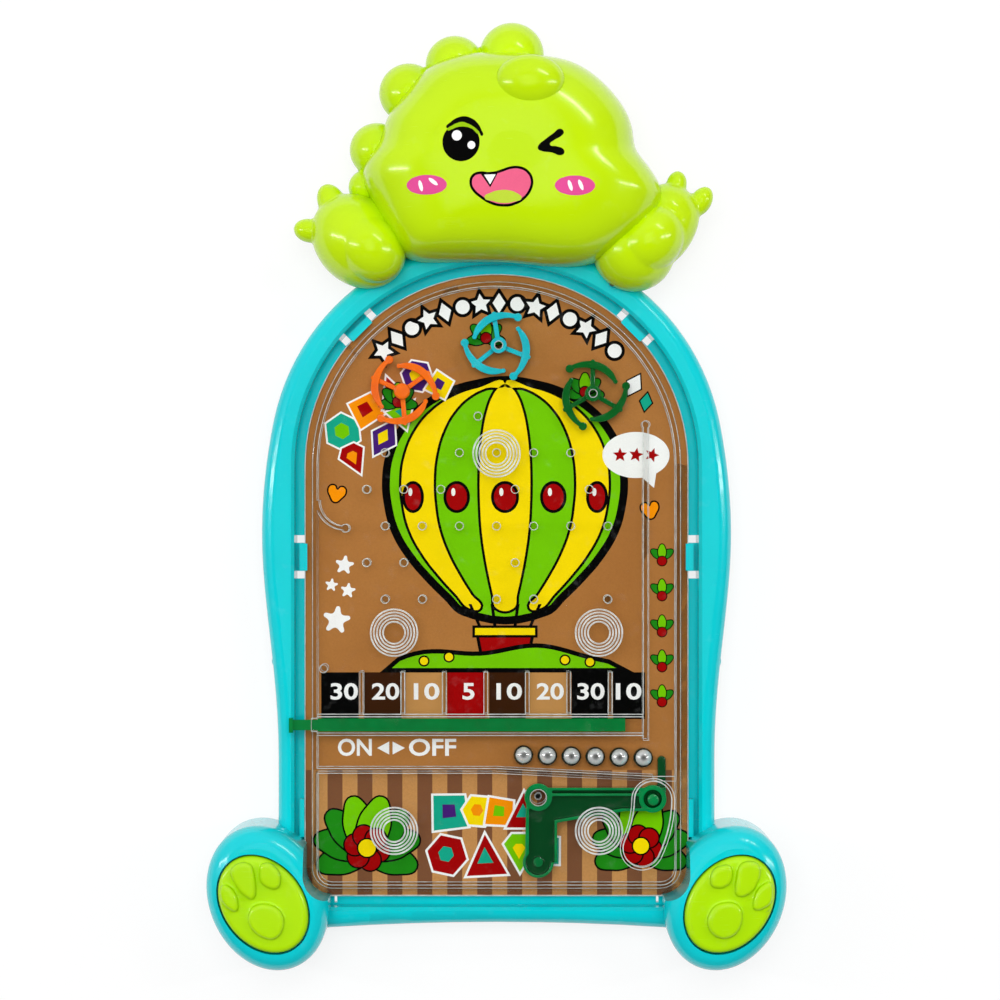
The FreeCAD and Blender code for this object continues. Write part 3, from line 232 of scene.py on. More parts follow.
def clear_plastic(name, tone):
    """Clear plastic: see-through, mirroring at a slant, with a breath of dust and rubbing."""
    finish = Finish(name)
    place = finish.place()
    dust = finish.spread(finish.noise(place, 260.0, 4.0, 0.6), 0.60, 0.80, 0.0, 0.03)
    ripple = finish.bump(finish.noise(place, 60.0, 1.0), 0.12, 0.0004)
    slant = finish.node("ShaderNodeFresnel", None, {"IOR": 1.40})
    film = finish.node("ShaderNodeBsdfTransparent", None, {"Color": tone})
    mirror = finish.surface({
        "Base Color": (0.95, 0.97, 0.97, 1.0), "Metallic": 1.0, "Roughness": 0.04, "Normal": ripple,
    })
    veil = finish.node("ShaderNodeBsdfDiffuse", None, {"Color": (0.85, 0.88, 0.88, 1.0)})
    clear = finish.node("ShaderNodeMixShader", None, {0: 0.55 * slant, 1: film, 2: mirror})
    return finish.show(finish.node("ShaderNodeMixShader", None, {0: dust, 1: clear, 2: veil}))


def printed(name, colour, rough=0.42):
    """Ink on card: a faint dot screen and a slight unevenness."""
    finish = Finish(name)
    place = finish.place()
    dots = finish.noise(place, 1800.0, 1.0)
    cloud = finish.noise(place, 90.0, 2.0)
    shade = tuple(0.86 * part for part in colour[:3]) + (1.0,)
    base = finish.mix(finish.spread(cloud + 0.5 * dots, 0.55, 0.95, 0.0, 0.5), colour, shade)
    return finish.show(finish.surface({
        "Base Color": base, "Roughness": rough + 0.1 * dots, "Specular IOR Level": 0.12,
        "Normal": finish.bump(dots, 0.2, 0.00002),
    }))


def card_finish():
    """The printed card: warm brown, with light and dark stripes in its lower part."""
    finish = Finish("printed_card")
    place = finish.place()
    across, along = finish.axes(place)[:2]
    cloud = finish.noise(place, 35.0, 3.0)
    fibre = finish.noise(place, 1500.0, 3.0, 0.6)
    first_x = seen(STRIPES_FROM_PX, 0.0, card_top)[0]
    period = STRIPE_PAIR_PX * pixel_size(card_top)
    pairs = (across - first_x) * (1 / period) + 0.25
    phase = finish.node("ShaderNodeMath", {"operation": "FRACT"}, {0: pairs})
    band = phase < 0.5
    below = along < seen(0.0, STRIPES_BELOW_PX, card_top)[1]
    striped = finish.mix(band, tint(201, 144, 84), tint(124, 79, 52))
    plain = finish.mix(finish.spread(cloud, 0.3, 0.7), tint(182, 122, 62), tint(170, 111, 54))
    base = finish.mix(below, plain, striped)
    base = finish.mix(finish.spread(fibre, 0.4, 0.8, 0.0, 0.25), base, tint(140, 90, 45))
    return finish.show(finish.surface({
        "Base Color": base, "Roughness": 0.48 + 0.12 * fibre, "Specular IOR Level": 0.25,
        "Normal": finish.bump(fibre, 0.25, 0.00003),
    }))


def metal(name, colour, rough, scratch):
    """Plated metal with a cloudy skin."""
    finish = Finish(name)
    place = finish.place()
    cloud = finish.noise(place, 500.0, 3.0)
    dull = tuple(0.82 * part for part in colour[:3]) + (1.0,)
    base = finish.mix(finish.spread(cloud, 0.3, 0.7), colour, dull)
    return finish.show(finish.surface({
        "Base Color": base, "Metallic": 1.0, "Roughness": rough + scratch * cloud,
        "Normal": finish.bump(cloud, 0.1, 0.00001),
    }))


def painted_reflection_steel():
    """Polished steel with a painted reflection: a bright ring round a dark middle, with a dark rim, painted
    by which way the surface faces.
    """
    finish = Finish("steel_painted_reflection")
    right, back, up = finish.axes(finish.node("ShaderNodeTexCoord", output="Normal"))
    cloud = finish.noise(finish.place(), 900.0, 2.0)
    facing = 0.96 * up + 0.07 * back + 0.03 * right + 0.04 * cloud
    # Painted reflection: dark middle, bright ring and dark greenish rim, set by which way the surface faces
    stops = [
        (0.00, (0.20, 0.20, 0.20, 1)), (0.30, (0.02, 0.07, 0.04, 1)), (0.56, (0.01, 0.02, 0.015, 1)),
        (0.66, (0.95, 0.96, 0.96, 1)), (0.90, (1.0, 1.0, 1.0, 1)), (0.985, (0.22, 0.22, 0.21, 1)),
    ]
    base = finish.node("ShaderNodeValToRGB", {"stops": stops}, {0: facing})
    return finish.show(finish.surface({
        "Base Color": base, "Metallic": 0.5, "Roughness": 0.05 + 0.03 * cloud, "Coat Weight": 0.3,
    }))


def coated(thing, material):
    """Gives a piece one finish all over."""
    thing.data.materials.clear()
    thing.data.materials.append(material)
    return thing


def seated(node, material):
    """Gives a CAD node its finish."""
    coated(nodes[node], material)


# Finishes of the carried-over nodes
cyan = moulded("cyan_plastic", tint(0, 206, 214), tint(0, 190, 200))
lime = moulded("lime_plastic", tint(194, 231, 0), tint(182, 221, 0), 0.16)
pad_lime = moulded("paw_plastic", tint(176, 226, 0), tint(160, 214, 0), 0.20)
backing = moulded("backing_plastic", tint(225, 225, 220), tint(205, 205, 200), 0.45, 0.0, 0.00003)
clear = clear_plastic("clear_cover_plastic", (0.995, 1.0, 1.0, 1.0))
# Heights over which the lever, gate and wheels go from painted shade to a painted highlight
lever_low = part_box("launcher_lever")[0].z
green = tinted_plastic(
    "green_plastic", tint(0, 142, 72), tint(2, 70, 30), lever_low + 0.0045, lever_low + 0.0066
)
gate_green = tinted_plastic("gate_plastic", tint(0, 128, 56), tint(0, 92, 36), 0.015, 0.018)
wheel_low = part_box("spinner_orange")[0].z
wheel_highlight_level = wheel_low + 0.003
orange = tinted_plastic("orange_plastic", tint(255, 118, 8), tint(226, 74, 0), wheel_low, wheel_highlight_level)
teal = tinted_plastic("teal_plastic", tint(20, 196, 210), tint(0, 150, 170), wheel_low, wheel_highlight_level)
dark_green = tinted_plastic("dark_green_plastic", tint(4, 104, 34), tint(2, 66, 18), wheel_low, wheel_highlight_level)
steel_with_painted_reflection = painted_reflection_steel()
zinc = metal("zinc_plate", (0.62, 0.62, 0.60, 1.0), 0.25, 0.2)

for name in ("frame_back", "frame_front"):
    seated(name, cyan)
for name in ("head_back", "head_front", "arm_left", "arm_right"):
    seated(name, lime)
for name in ("paw_left", "paw_right"):
    seated(name, pad_lime)
seated("clear_cover", clear)
seated("play_card", card_finish())
seated("back_plate", backing)
seated("gate_slider", gate_green)
seated("launcher_lever", green)
seated("spinner_orange", orange)
seated("spinner_pin", orange)
seated("spinner_teal", teal)
seated("spinner_green", dark_green)
for k in range(1, 7):
    seated(f"ball_{k}", steel_with_painted_reflection)
for name in ("launcher_spring", "frame_screws", "head_screws", "arm_screws", "pivot_screw"):
    seated(name, zinc)

black_ink = printed("black_ink", tint(1, 1, 1))
white_ink = printed("white_ink", tint(252, 252, 250))
green_ink = printed("green_ink", tint(118, 204, 0))
yellow_ink = printed("yellow_ink", tint(255, 224, 0))
red_ink = printed("red_ink", tint(166, 0, 2))
orange_ink = printed("orange_ink", tint(255, 150, 0))
teal_ink = printed("teal_ink", tint(20, 170, 140))
purple_ink = printed("purple_ink", tint(70, 30, 120))
leaf_ink = printed("leaf_ink", tint(30, 140, 20))
brown_ink = printed("brown_ink", tint(58, 28, 6))
tan_ink = printed("tan_ink", tint(198, 144, 82))
mouth_ink = printed("mouth_ink", tint(236, 100, 138))
cheek_ink = printed("cheek_ink", tint(226, 80, 150))
tongue_ink = printed("tongue_ink", tint(190, 216, 60))
green_glint = printed("brow_gap_ink", tint(150, 196, 10))


# Flat prints
def alone(thing):
    bpy.ops.object.select_all(action="DESELECT")
    thing.select_set(True)
    bpy.context.view_layer.objects.active = thing


def settled(thing):
    """Puts the object's place into its mesh."""
    alone(thing)
    bpy.ops.object.transform_apply(location=True, rotation=True, scale=True)
    return thing


def as_mesh(thing):
    alone(thing)
    bpy.ops.object.convert(target="MESH")
    return bpy.context.view_layer.objects.active


def joined(name, things):
    bpy.ops.object.select_all(action="DESELECT")
    for thing in things:
        thing.select_set(True)
    bpy.context.view_layer.objects.active = things[0]
    if len(things) > 1:
        bpy.ops.object.join()
    whole = bpy.context.view_layer.objects.active
    whole.name = name
    whole.data.name = name
    return settled(whole)


def flat_curve(extrude, offset):
    """An empty flat curve that fills its closed loops."""
    bpy.ops.curve.primitive_bezier_circle_add(location=(0, 0, 0))
    thing = bpy.context.view_layer.objects.active
    line = thing.data
    line.splines.clear()
    line.dimensions = "2D"
    line.fill_mode = "BOTH"
    line.extrude = extrude
    line.offset = offset
    return thing


def round_loop(line, places):
    """A smooth closed loop through the places."""
    spline = line.splines.new("BEZIER")
    spline.bezier_points.add(len(places) - 1)
    for point, (x, y) in zip(spline.bezier_points, places):
        point.co = (x, y, 0)
        point.handle_left_type = "AUTO"
        point.handle_right_type = "AUTO"
    spline.use_cyclic_u = True


def straight_loop(line, places):
    """A closed loop of straight runs through the places."""
    spline = line.splines.new("POLY")
    spline.points.add(len(places) - 1)
    for point, (x, y) in zip(spline.points, places):
        point.co = (x, y, 0, 1)
    spline.use_cyclic_u = True


def inked(loops, layer, ink, round_line=True, grow=0.0, z=None):
    """A flat print from closed loops of photograph pixels; loops inside others are holes."""
    level = card_top + layer * INK_STEP if z is None else z
    draw = round_loop if round_line else straight_loop
    thing = flat_curve(INK_T / 2, grow)
    thing.data.resolution_u = 6
    for loop in loops:
        draw(thing.data, [seen(px, py, level) for px, py in loop])
    thing.location.z = level + INK_T / 2
    return coated(as_mesh(thing), ink)


def outlined(loops, layer, ink, line_px, round_line=True, edge=None):
    """A print with a line of another ink round it."""
    edge = edge or black_ink
    grow = line_px * pixel_size(card_top)
    return [
        inked(loops[:1], layer, edge, round_line, grow),
        inked(loops, layer + 1, ink, round_line),
    ]


def oval(cx, cy, rx, ry, turn=0.0, count=12):
    c, s = math.cos(math.radians(turn)), math.sin(math.radians(turn))
    ring = []
    for k in range(count):
        a = 2 * math.pi * k / count
        x, y = rx * math.cos(a), ry * math.sin(a)
        ring.append((cx + x * c - y * s, cy + x * s + y * c))
    return ring


def placed(points, cx, cy, size=1.0, turn=0.0):
    """Points drawn about nothing, put at a pixel, scaled and turned."""
    c, s = math.cos(math.radians(turn)), math.sin(math.radians(turn))
    return [(cx + size * (x * c - y * s), cy + size * (x * s + y * c)) for x, y in points]


def star(cx, cy, r, turn=0.0, points=5, inner=0.45):
    ring = []
    for k in range(points * 2):
        a = math.pi * k / points - math.pi / 2 + math.radians(turn)
        reach = r if k % 2 == 0 else r * inner
        ring.append((cx + reach * math.cos(a), cy + reach * math.sin(a)))
    return ring


HEART = [
    (0, 10), (-7, 3.5), (-10, -2), (-8.5, -7.5), (-4, -8.5), (0, -4.5), (4, -8.5), (8.5, -7.5), (10, -2),
    (7, 3.5),
]
GEM = [(-8, -4), (-4, -9), (4, -9), (8, -4), (0, 10)]
DIAMOND = [(0, -10), (6.5, 0), (0, 10), (-6.5, 0)]
BLOCK = [(-8, -9), (8, -8), (9, 8), (-9, 9)]
WEDGE = [(0, -10), (9, 8), (-9, 8)]
HEXAGON = [(-5, -9), (5, -9), (10, 0), (5, 9), (-5, 9), (-10, 0)]


def numeral(text, left, right, top, bottom, layer, ink):
    """A printed number between four pixels."""
    level = card_top + layer * INK_STEP
    bpy.ops.object.text_add(location=(0, 0, 0))
    thing = bpy.context.view_layer.objects.active
    thing.data.body = text
    thing.data.offset = 0.022
    thing.data.extrude = INK_T / 2
    thing.data.resolution_u = 4
    thing = as_mesh(thing)
    corner = [Vector(c) for c in thing.bound_box]
    low_x, high_x = min(c.x for c in corner), max(c.x for c in corner)
    low_y, high_y = min(c.y for c in corner), max(c.y for c in corner)
    x0, y1 = seen(left, top, level)
    x1, y0 = seen(right, bottom, level)
    for point in thing.data.vertices:
        point.co.x = x0 + (point.co.x - low_x) / (high_x - low_x) * (x1 - x0)
        point.co.y = y0 + (point.co.y - low_y) / (high_y - low_y) * (y1 - y0)
        point.co.z += level + INK_T / 2
    return coated(thing, ink)


def carried(piece, body="frame"):
    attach(piece, body)
    return piece


# Pockets and their numbers
POCKETS = [
    ("30", black_ink, 321.2, 358.8, 330.5, 358.0), ("20", brown_ink, 364.2, 401.5, 371.8, 399.3),
    ("10", tan_ink, 406.0, 444.4, 413.8, 439.5), ("5", red_ink, 447.3, 485.2, 462.5, 474.5),
    ("10", brown_ink, 489.2, 525.8, 496.4, 522.0), ("20", tan_ink, 529.9, 567.8, 536.6, 563.8),
    ("30", black_ink, 571.6, 608.0, 577.2, 604.6), ("10", black_ink, 612.9, 645.0, 615.8, 641.5),
]
panels, numbers = [], []
for text, ink, left, right, text_left, text_right in POCKETS:
    panels.append(inked([[(left, 672.3), (right, 672.3), (right, 719), (left, 719)]], 1, ink, False))
    numbers.append(numeral(text, text_left, text_right, 683.0, 699.8, 2, white_ink))
carried(joined("pocket_panels", panels))
carried(joined("pocket_numbers", numbers))

words = [
    numeral("ON", 337.9, 371.8, 738.6, 756.0, 1, white_ink),
    numeral("OFF", 408.9, 456.2, 738.6, 756.0, 1, white_ink),
    inked([[(377, 748), (389.2, 741.5), (389.2, 754.5)]], 1, white_ink, False),
    inked([[(404.9, 748), (392.6, 754.5), (392.6, 741.5)]], 1, white_ink, False),
]
carried(joined("switch_words", words))

# The band of shapes over the spinners
band = []
for k in range(15):
    angle = math.radians(135.0 - 90.0 * k / 14)
    cx, cy = 499.0 + 163.5 * math.cos(angle), 466.5 - 163.5 * math.sin(angle)
    turn = 90.0 - math.degrees(angle)
    if k % 3 == 0:
        loop, soft = star(cx, cy, 10.5, turn, 5, 0.5), False
    elif k % 3 == 1:
        loop, soft = placed(DIAMOND, cx, cy, 1.0, turn), False
    else:
        loop, soft = oval(cx, cy, 7.0, 7.0), True
    band += outlined([loop], 1 + 2 * (k % 2), white_ink, 3.2, soft)
carried(joined("arch_band", band))

# The balloon in the middle of the field
BALLOON_ROWS = [
    (384, 0), (388, 30), (396, 56), (410, 80), (430, 99), (455, 111), (480, 115), (505, 113),
    (530, 106), (555, 91), (575, 74), (595, 54), (608, 40),
]
BALLOON_X = 505.0


def gore(first, last):
    right = [(BALLOON_X + last * w, y) for y, w in BALLOON_ROWS]
    left = [(BALLOON_X + first * w, y) for y, w in reversed(BALLOON_ROWS)]
    return right + left[:-1]


balloon = outlined([gore(-1, 1)], 1, green_ink, 8.0)
for first, last in ((-0.90, -0.62), (-0.22, 0.22), (0.62, 0.90)):
    balloon += outlined([gore(first, last)], 3, yellow_ink, 2.6)
for share in (-0.80, -0.42, 0.0, 0.42, 0.80):
    half = 11.0 * math.sqrt(1 - 0.75 * share * share)
    balloon += outlined([oval(BALLOON_X + 115 * share, 497, half, 13.0)], 5, red_ink, 3.0)
    balloon.append(inked([oval(BALLOON_X + 115 * share - half / 3, 492, 2.0, 4.0)], 7, white_ink))
ROPES = ((470, 483), (540, 527), (492, 496), (518, 514))
ROPE_TOP, ROPE_FOOT, ROPE_HALF = 604, 634, 1.6
for top_x, foot_x in ROPES:
    rope = [
        (top_x - ROPE_HALF, ROPE_TOP), (top_x + ROPE_HALF, ROPE_TOP),
        (foot_x + ROPE_HALF, ROPE_FOOT), (foot_x - ROPE_HALF, ROPE_FOOT),
    ]
    balloon.append(inked([rope], 8, black_ink, False))
balloon += outlined([[(478, 630), (532, 630), (527, 656), (483, 656)]], 9, red_ink, 3.2, False)
balloon += outlined([[(475, 628), (535, 628), (535, 635), (475, 635)]], 11, yellow_ink, 2.6, False)
HILL_STEPS = 28
hill = []
for k in range(HILL_STEPS + 1):
    share = k / HILL_STEPS
    swell = math.sin(math.pi * share) ** 0.5
    hill.append((392 + 224 * share, 668 - swell * (17 + 4.5 * math.sin(11 * share + 0.5))))
balloon += outlined([hill], 13, green_ink, 4.5, False)
for cx, cy in ((424, 661), (449, 657), (565, 660), (590, 662)):
    balloon += outlined([oval(cx, cy, 4.0, 4.0)], 15, yellow_ink, 1.6)
carried(joined("field_picture", balloon))

# Bright shapes in white outlines, upper left and lower middle
INKS = [teal_ink, orange_ink, purple_ink, green_ink, red_ink, yellow_ink]
UPPER = [
    (343, 432, HEXAGON, 1.35, -35, 0), (366, 410, BLOCK, 1.15, -30, 1), (392, 392, WEDGE, 1.2, -20, 4),
    (417, 376, HEXAGON, 1.15, 10, 2), (440, 385, BLOCK, 0.9, 30, 5), (354, 459, GEM, 1.2, -25, 4),
    (384, 438, DIAMOND, 1.5, 30, 2), (404, 412, WEDGE, 1.1, 40, 3),
]
LOWER = [
    (450, 812, BLOCK, 1.55, -4, 0), (478, 811, HEXAGON, 1.25, 5, 5), (500, 812, BLOCK, 1.2, 6, 1),
    (524, 812, WEDGE, 1.55, 0, 4), (447, 855, HEXAGON, 1.6, 12, 4), (486, 857, WEDGE, 1.8, -3, 4),
    (520, 852, GEM, 1.6, 0, 3), (545, 850, BLOCK, 1.3, 4, 0),
]


def jewels(rows, layer, outer, inner, line_px, shift):
    """Shapes in white outlines, each with a smaller one of another ink on it."""
    made = []
    for k, (cx, cy, shape, size, turn, ink) in enumerate(rows):
        first = layer + 3 * k
        back = placed(shape, cx, cy, size * outer, turn)
        front = placed(shape, cx - 1, cy - 1, size * inner, turn)
        made += outlined([back], first, INKS[ink], line_px, False, white_ink)
        made.append(inked([front], first + 2, INKS[(ink + shift) % len(INKS)], False))
    return made


gems = jewels(UPPER, 3, 1.35, 0.6, 1.8, 3) + jewels(LOWER, 1, 1.25, 0.5, 2.2, 2)
carried(joined("bright_shapes", gems))

# Hearts, stars, bubble and a small kite
trims = []
trims += outlined([placed(HEART, 336.5, 493.5, 0.85, 12)], 1, orange_ink, 1.6)
trims += outlined([placed(HEART, 650, 510, 0.85, -8)], 1, orange_ink, 1.6)
for cx, cy, r in ((344.5, 565, 9.5), (331.5, 585, 6.5), (348, 590.5, 7.5), (336.5, 620, 14)):
    trims.append(inked([star(cx, cy, r, 8, 5, 0.55)], 1, white_ink))
trims.append(inked([oval(636, 455, 33.5, 23, 0, 16)], 18, white_ink))
trims.append(inked([[(638, 474), (657, 468), (654, 488)]], 19, white_ink, False))
for k in range(3):
    trims.append(inked([star(620 + 16 * k, 455, 7.5, 10 * k)], 20, red_ink, False))
trims += outlined([placed(DIAMOND, 634, 385, 1.2, 30)], 1, white_ink, 1.4, False)
trims += outlined([placed(DIAMOND, 646, 402, 0.9, 10)], 3, teal_ink, 1.4, False)
carried(joined("small_trims", trims))

# Leaves with berries in the lane, flowers in the lower corners
BROAD_LEAF = [(0, -10), (4.2, -5), (5.4, 1), (3.8, 7), (0, 10), (-3.8, 7), (-5.4, 1), (-4.2, -5)]
FLOWER_LEAVES = (-112, 112, -80, 80, -48, 48, -17, 17)
leaves = []


def sprig(cx, cy, turns, reach, size, layer, line_px):
    """Leaves set out round a place, each turned its own way."""
    made = []
    for k, turn in enumerate(turns):
        a = math.radians(turn)
        leaf = placed(BROAD_LEAF, cx + reach * math.sin(a), cy - reach * math.cos(a), size, turn)
        ink = leaf_ink if abs(turn) > 40 else green_ink
        made += outlined([leaf], layer + 2 * k, ink, line_px)
    return made


for cy in (556, 591, 627, 662, 697):
    leaves += sprig(662, cy + 1, (-58, 58, 0), 5.5, 0.72, 1, 1.0)
    leaves += outlined([oval(662, cy + 5, 4.4, 4.4)], 7, red_ink, 1.0)
for cx, cy, size in ((367, 848, 3.2), (641, 846, 2.9)):
    leaves += sprig(cx, cy, FLOWER_LEAVES, 7.4 * size, size * 0.92, 1, 1.8)
    for k in range(6):
        a = math.radians(60 * k + 15)
        petal = oval(cx + 3.9 * size * math.cos(a), cy + 3.9 * size * math.sin(a), 3.2 * size, 3.2 * size)
        leaves += outlined([petal], 17 + 2 * k, red_ink, 1.6)
    leaves += outlined([oval(cx, cy, 2.7 * size, 2.7 * size)], 30, yellow_ink, 1.6)
for cx, cy in ((486, 338), (585, 392), (398, 402)):
    leaves += sprig(cx, cy, (-100, 100, -50, 50, 0), 9.0, 1.0, 34, 1.2)
    leaves += outlined([oval(cx, cy, 5.0, 5.0)], 45, red_ink, 1.2)
carried(joined("leaf_trims", leaves))


# Painted highlight lines along the clear cover's moulded edges
COVER_TOP = 0.0203
EDGE_LINE_R = 0.00012


def copy_of(node, name):
    """A merged copy of a CAD node's mesh, for a finer piece."""
    alone(nodes[node])
    bpy.ops.object.duplicate()
    copy = bpy.context.view_layer.objects.active
    for key in list(copy.keys()):
        if key.startswith("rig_"):
            del copy[key]
    copy.name = name
    copy.data.name = name
    alone(copy)
    bpy.ops.object.mode_set(mode="EDIT")
    bpy.ops.mesh.select_all(action="SELECT")
    bpy.ops.mesh.remove_doubles(threshold=0.000005)
    bpy.ops.object.mode_set(mode="OBJECT")
    return copy


def melted(skin, voxel, rounds):
    """Makes the active piece one closed skin and eases its edges."""
    skin.data.remesh_voxel_size = voxel
    bpy.ops.object.voxel_remesh()
    ease = skin.modifiers.new("ease", "SMOOTH")
    ease.factor = 0.5
    ease.iterations = rounds
    bpy.ops.object.modifier_apply(modifier="ease")


def cut_flat(level, drop):
    """Cuts the active piece flat at a level, drops what is above or below, and closes it."""
    bpy.ops.object.mode_set(mode="EDIT")
    bpy.ops.mesh.select_all(action="SELECT")
    bpy.ops.mesh.bisect(
        plane_co=(0, 0, level), plane_no=(0, 0, 1), use_fill=True,
        clear_inner=drop == "below", clear_outer=drop == "above",
    )
    bpy.ops.object.mode_set(mode="OBJECT")


def eased(node, voxel, rounds):
    """A moving part with its moulded edges eased, so that they catch the light."""
    skin = copy_of(node, f"{node}_skin")
    melted(skin, voxel, rounds)
    bpy.ops.object.shade_smooth()
    carried(skin, node)
    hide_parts(node)
    return skin


def painted_edge_highlight():
    """A painted highlight line, broken here and there, standing in for the gleam along a polished edge."""
    finish = Finish("painted_edge_highlight")
    place = finish.place()
    along = finish.noise(place, 300.0, 2.0)
    film = finish.node("ShaderNodeBsdfTransparent", None, {"Color": (1, 1, 1, 1)})
    # A near-white surface standing in for the gleam on the edge: a painted highlight
    painted_gleam = finish.surface({"Base Color": tint(236, 240, 238), "Roughness": 0.2, "Coat Weight": 0.5})
    share = finish.spread(along, 0.3, 0.7, 0.50, 1.0)
    return finish.show(finish.node("ShaderNodeMixShader", None, {0: share, 1: film, 2: painted_gleam}))


def cover_edge_highlights():
    """Thin painted highlight lines along the clear cover's moulded edges."""
    copy = copy_of("clear_cover", "cover_edge_highlights")
    bpy.ops.object.mode_set(mode="EDIT")
    bpy.ops.mesh.select_all(action="DESELECT")
    bpy.ops.mesh.select_mode(type="EDGE")
    bpy.ops.mesh.edges_select_sharp(sharpness=math.radians(50))
    bpy.ops.mesh.select_all(action="INVERT")
    bpy.ops.mesh.delete(type="EDGE")
    bpy.ops.mesh.select_all(action="DESELECT")
    bpy.ops.object.mode_set(mode="OBJECT")
    for point in copy.data.vertices:
        point.select = abs(point.co.z - COVER_TOP) < 0.00002
    bpy.ops.object.mode_set(mode="EDIT")
    bpy.ops.mesh.delete(type="VERT")
    bpy.ops.object.mode_set(mode="OBJECT")
    bpy.ops.object.convert(target="CURVE")
    line = copy.data
    line.bevel_depth = EDGE_LINE_R
    line.bevel_resolution = 0
    line.use_fill_caps = True
    return joined("cover_highlight_lines", [coated(as_mesh(copy), painted_edge_highlight())])


carried(cover_edge_highlights())
eased("spinner_orange", 0.00020, 4)
eased("spinner_teal", 0.00020, 4)
eased("spinner_green", 0.00020, 4)
eased("launcher_lever", 0.00028, 3)


# The printed face
head = nodes["head_front"]
FACE_Z = 0.040
FACE_CLEAR = 0.00005
FACE_STEP = 0.00003


def head_level(x, y):
    """Height of the head's front over a place."""
    hit, spot = head.ray_cast(Vector((x, y, 0.1)), Vector((0, 0, -1)))[:2]
    return spot.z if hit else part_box("head_front")[1].z - 0.004


def face_level(px, py):
    z = FACE_Z
    for step in range(4):
        x, y = seen(px, py, z)
        z = head_level(x, y)
    return z


def on_face(loops, layer, ink, grow=0.0, round_line=True):
    """A print laid on the curved front of the head."""
    middle_x = sum(p[0] for p in loops[0]) / len(loops[0])
    middle_y = sum(p[1] for p in loops[0]) / len(loops[0])
    level = face_level(middle_x, middle_y)
    thing = inked(loops, 0, ink, round_line, grow, level)
    settled(thing)
    bpy.ops.object.mode_set(mode="EDIT")
    bpy.ops.mesh.select_all(action="SELECT")
    bpy.ops.mesh.remove_doubles(threshold=0.00003)
    bpy.ops.mesh.select_all(action="SELECT")
    bpy.ops.mesh.subdivide(number_cuts=3)
    bpy.ops.object.mode_set(mode="OBJECT")
    for point in thing.data.vertices:
        point.co.z = head_level(point.co.x, point.co.y) + FACE_CLEAR + layer * FACE_STEP
    return thing


def face_line(loops, layer, ink, line_px, edge):
    grow = line_px * pixel_size(FACE_Z)
    return [on_face(loops[:1], layer, edge, grow), on_face(loops, layer + 1, ink)]


BROW = [
    (446.5, 127.5), (451, 121.5), (457.5, 117.5), (464, 116.2), (471, 118), (477, 122.5), (481, 129),
    (482.3, 136), (478.5, 131), (472.5, 126), (464, 122.6), (456, 123.4), (450.5, 126),
]
GLINT = [
    (447.5, 130), (451.5, 125.6), (457, 122.8), (464, 122), (471.5, 125.4), (477.4, 130.2), (479, 133.4),
    (472, 128.9), (464.5, 126.6), (457, 127.2), (451.5, 129.4),
]
WINK = [
    (538.2, 146), (545, 139.5), (553, 133.5), (560.5, 128.6), (563.8, 131.8), (562, 135.2), (553.5, 140.5),
    (550, 144.5), (556.5, 146.2), (563.5, 149.2), (564.2, 153), (560.5, 155.2), (552, 152.6), (542, 151.2),
    (538, 149),
]
MOUTH = [
    (472, 183), (474, 176.5), (480.5, 174), (488, 174.6), (496, 173.8), (503, 171.6), (511, 169),
    (519, 168.8), (526.5, 172.4), (530.6, 180), (529, 189), (523, 197), (514, 202.2), (503.5, 203.8),
    (492, 201.6), (481.5, 195.4), (474.5, 189),
]
TONGUE = [
    (484.5, 197.4), (491, 192.6), (500, 190.2), (509, 190.4), (516.5, 193), (521.6, 198), (514, 201.6),
    (503.5, 203), (493, 201),
]
face = [
    on_face([oval(461, 142, 18.6, 19.2, 0, 18)], 0, black_ink),
    on_face([GLINT], 1, green_glint),
    on_face([BROW], 1, black_ink),
    on_face([oval(456.8, 135.4, 5.0, 5.2)], 2, white_ink),
    on_face([oval(471.4, 145, 3.9, 4.0)], 2, white_ink),
    on_face([WINK], 0, black_ink),
]
face += face_line([MOUTH], 0, mouth_ink, 2.6, black_ink)
face.append(on_face([TONGUE], 3, tongue_ink))
face.append(on_face([[(480.6, 173.6), (497.4, 173.6), (490.2, 187.2)]], 3, black_ink, 0.0, False))
face.append(on_face([[(484, 174.6), (495.6, 174.4), (490.2, 184.4)]], 4, white_ink, 0.0, False))
CHEEKS = [
    (426.7, 184.8, ((-6.0, 1.0, -14), (6.5, -3.2, -52))),
    (575.0, 185.4, ((-4.8, 0.0, -18), (5.8, -0.5, -22))),
]
for cx, cy, dashes in CHEEKS:
    face.append(on_face([oval(cx, cy, 20.2, 9.8)], 0, cheek_ink))
    for dx, dy, lean in dashes:
        face.append(on_face([oval(cx + dx, cy + dy, 1.9, 5.6, lean, 8)], 1, white_ink))
carried(joined("printed_face", face))

# Soft moulded arms and back spikes
ARM_R = 0.0164
ARM_Z = 0.0185
ARM_ORBIT = 0.0832
ARM_BACK_Z = 0.012
SKIN_VOXEL = 0.0006
ARMS = {
    "arm_left": (121.5, [
        (0.00, 0.00, 0.00, 1.00, 0.83, -45.0), (0.23, -0.15, 0.34, 0.73, 0.62, -45.0),
        (-0.52, 0.74, 0.00, 0.38, 0.27, 115.0), (-0.96, 0.20, 0.00, 0.30, 0.23, 168.0),
    ]),
    "arm_right": (57.5, [
        (-0.08, -0.13, 0.00, 0.80, 0.80, 0.0), (0.40, 0.23, 0.00, 0.96, 0.635, 50.0),
        (0.57, 0.58, 0.00, 0.58, 0.58, 0.0), (0.20, 0.05, 0.30, 0.74, 0.62, 45.0),
        (0.74, 1.13, 0.00, 0.27, 0.20, 80.0), (1.21, 0.81, 0.00, 0.31, 0.21, 60.0),
    ]),
}


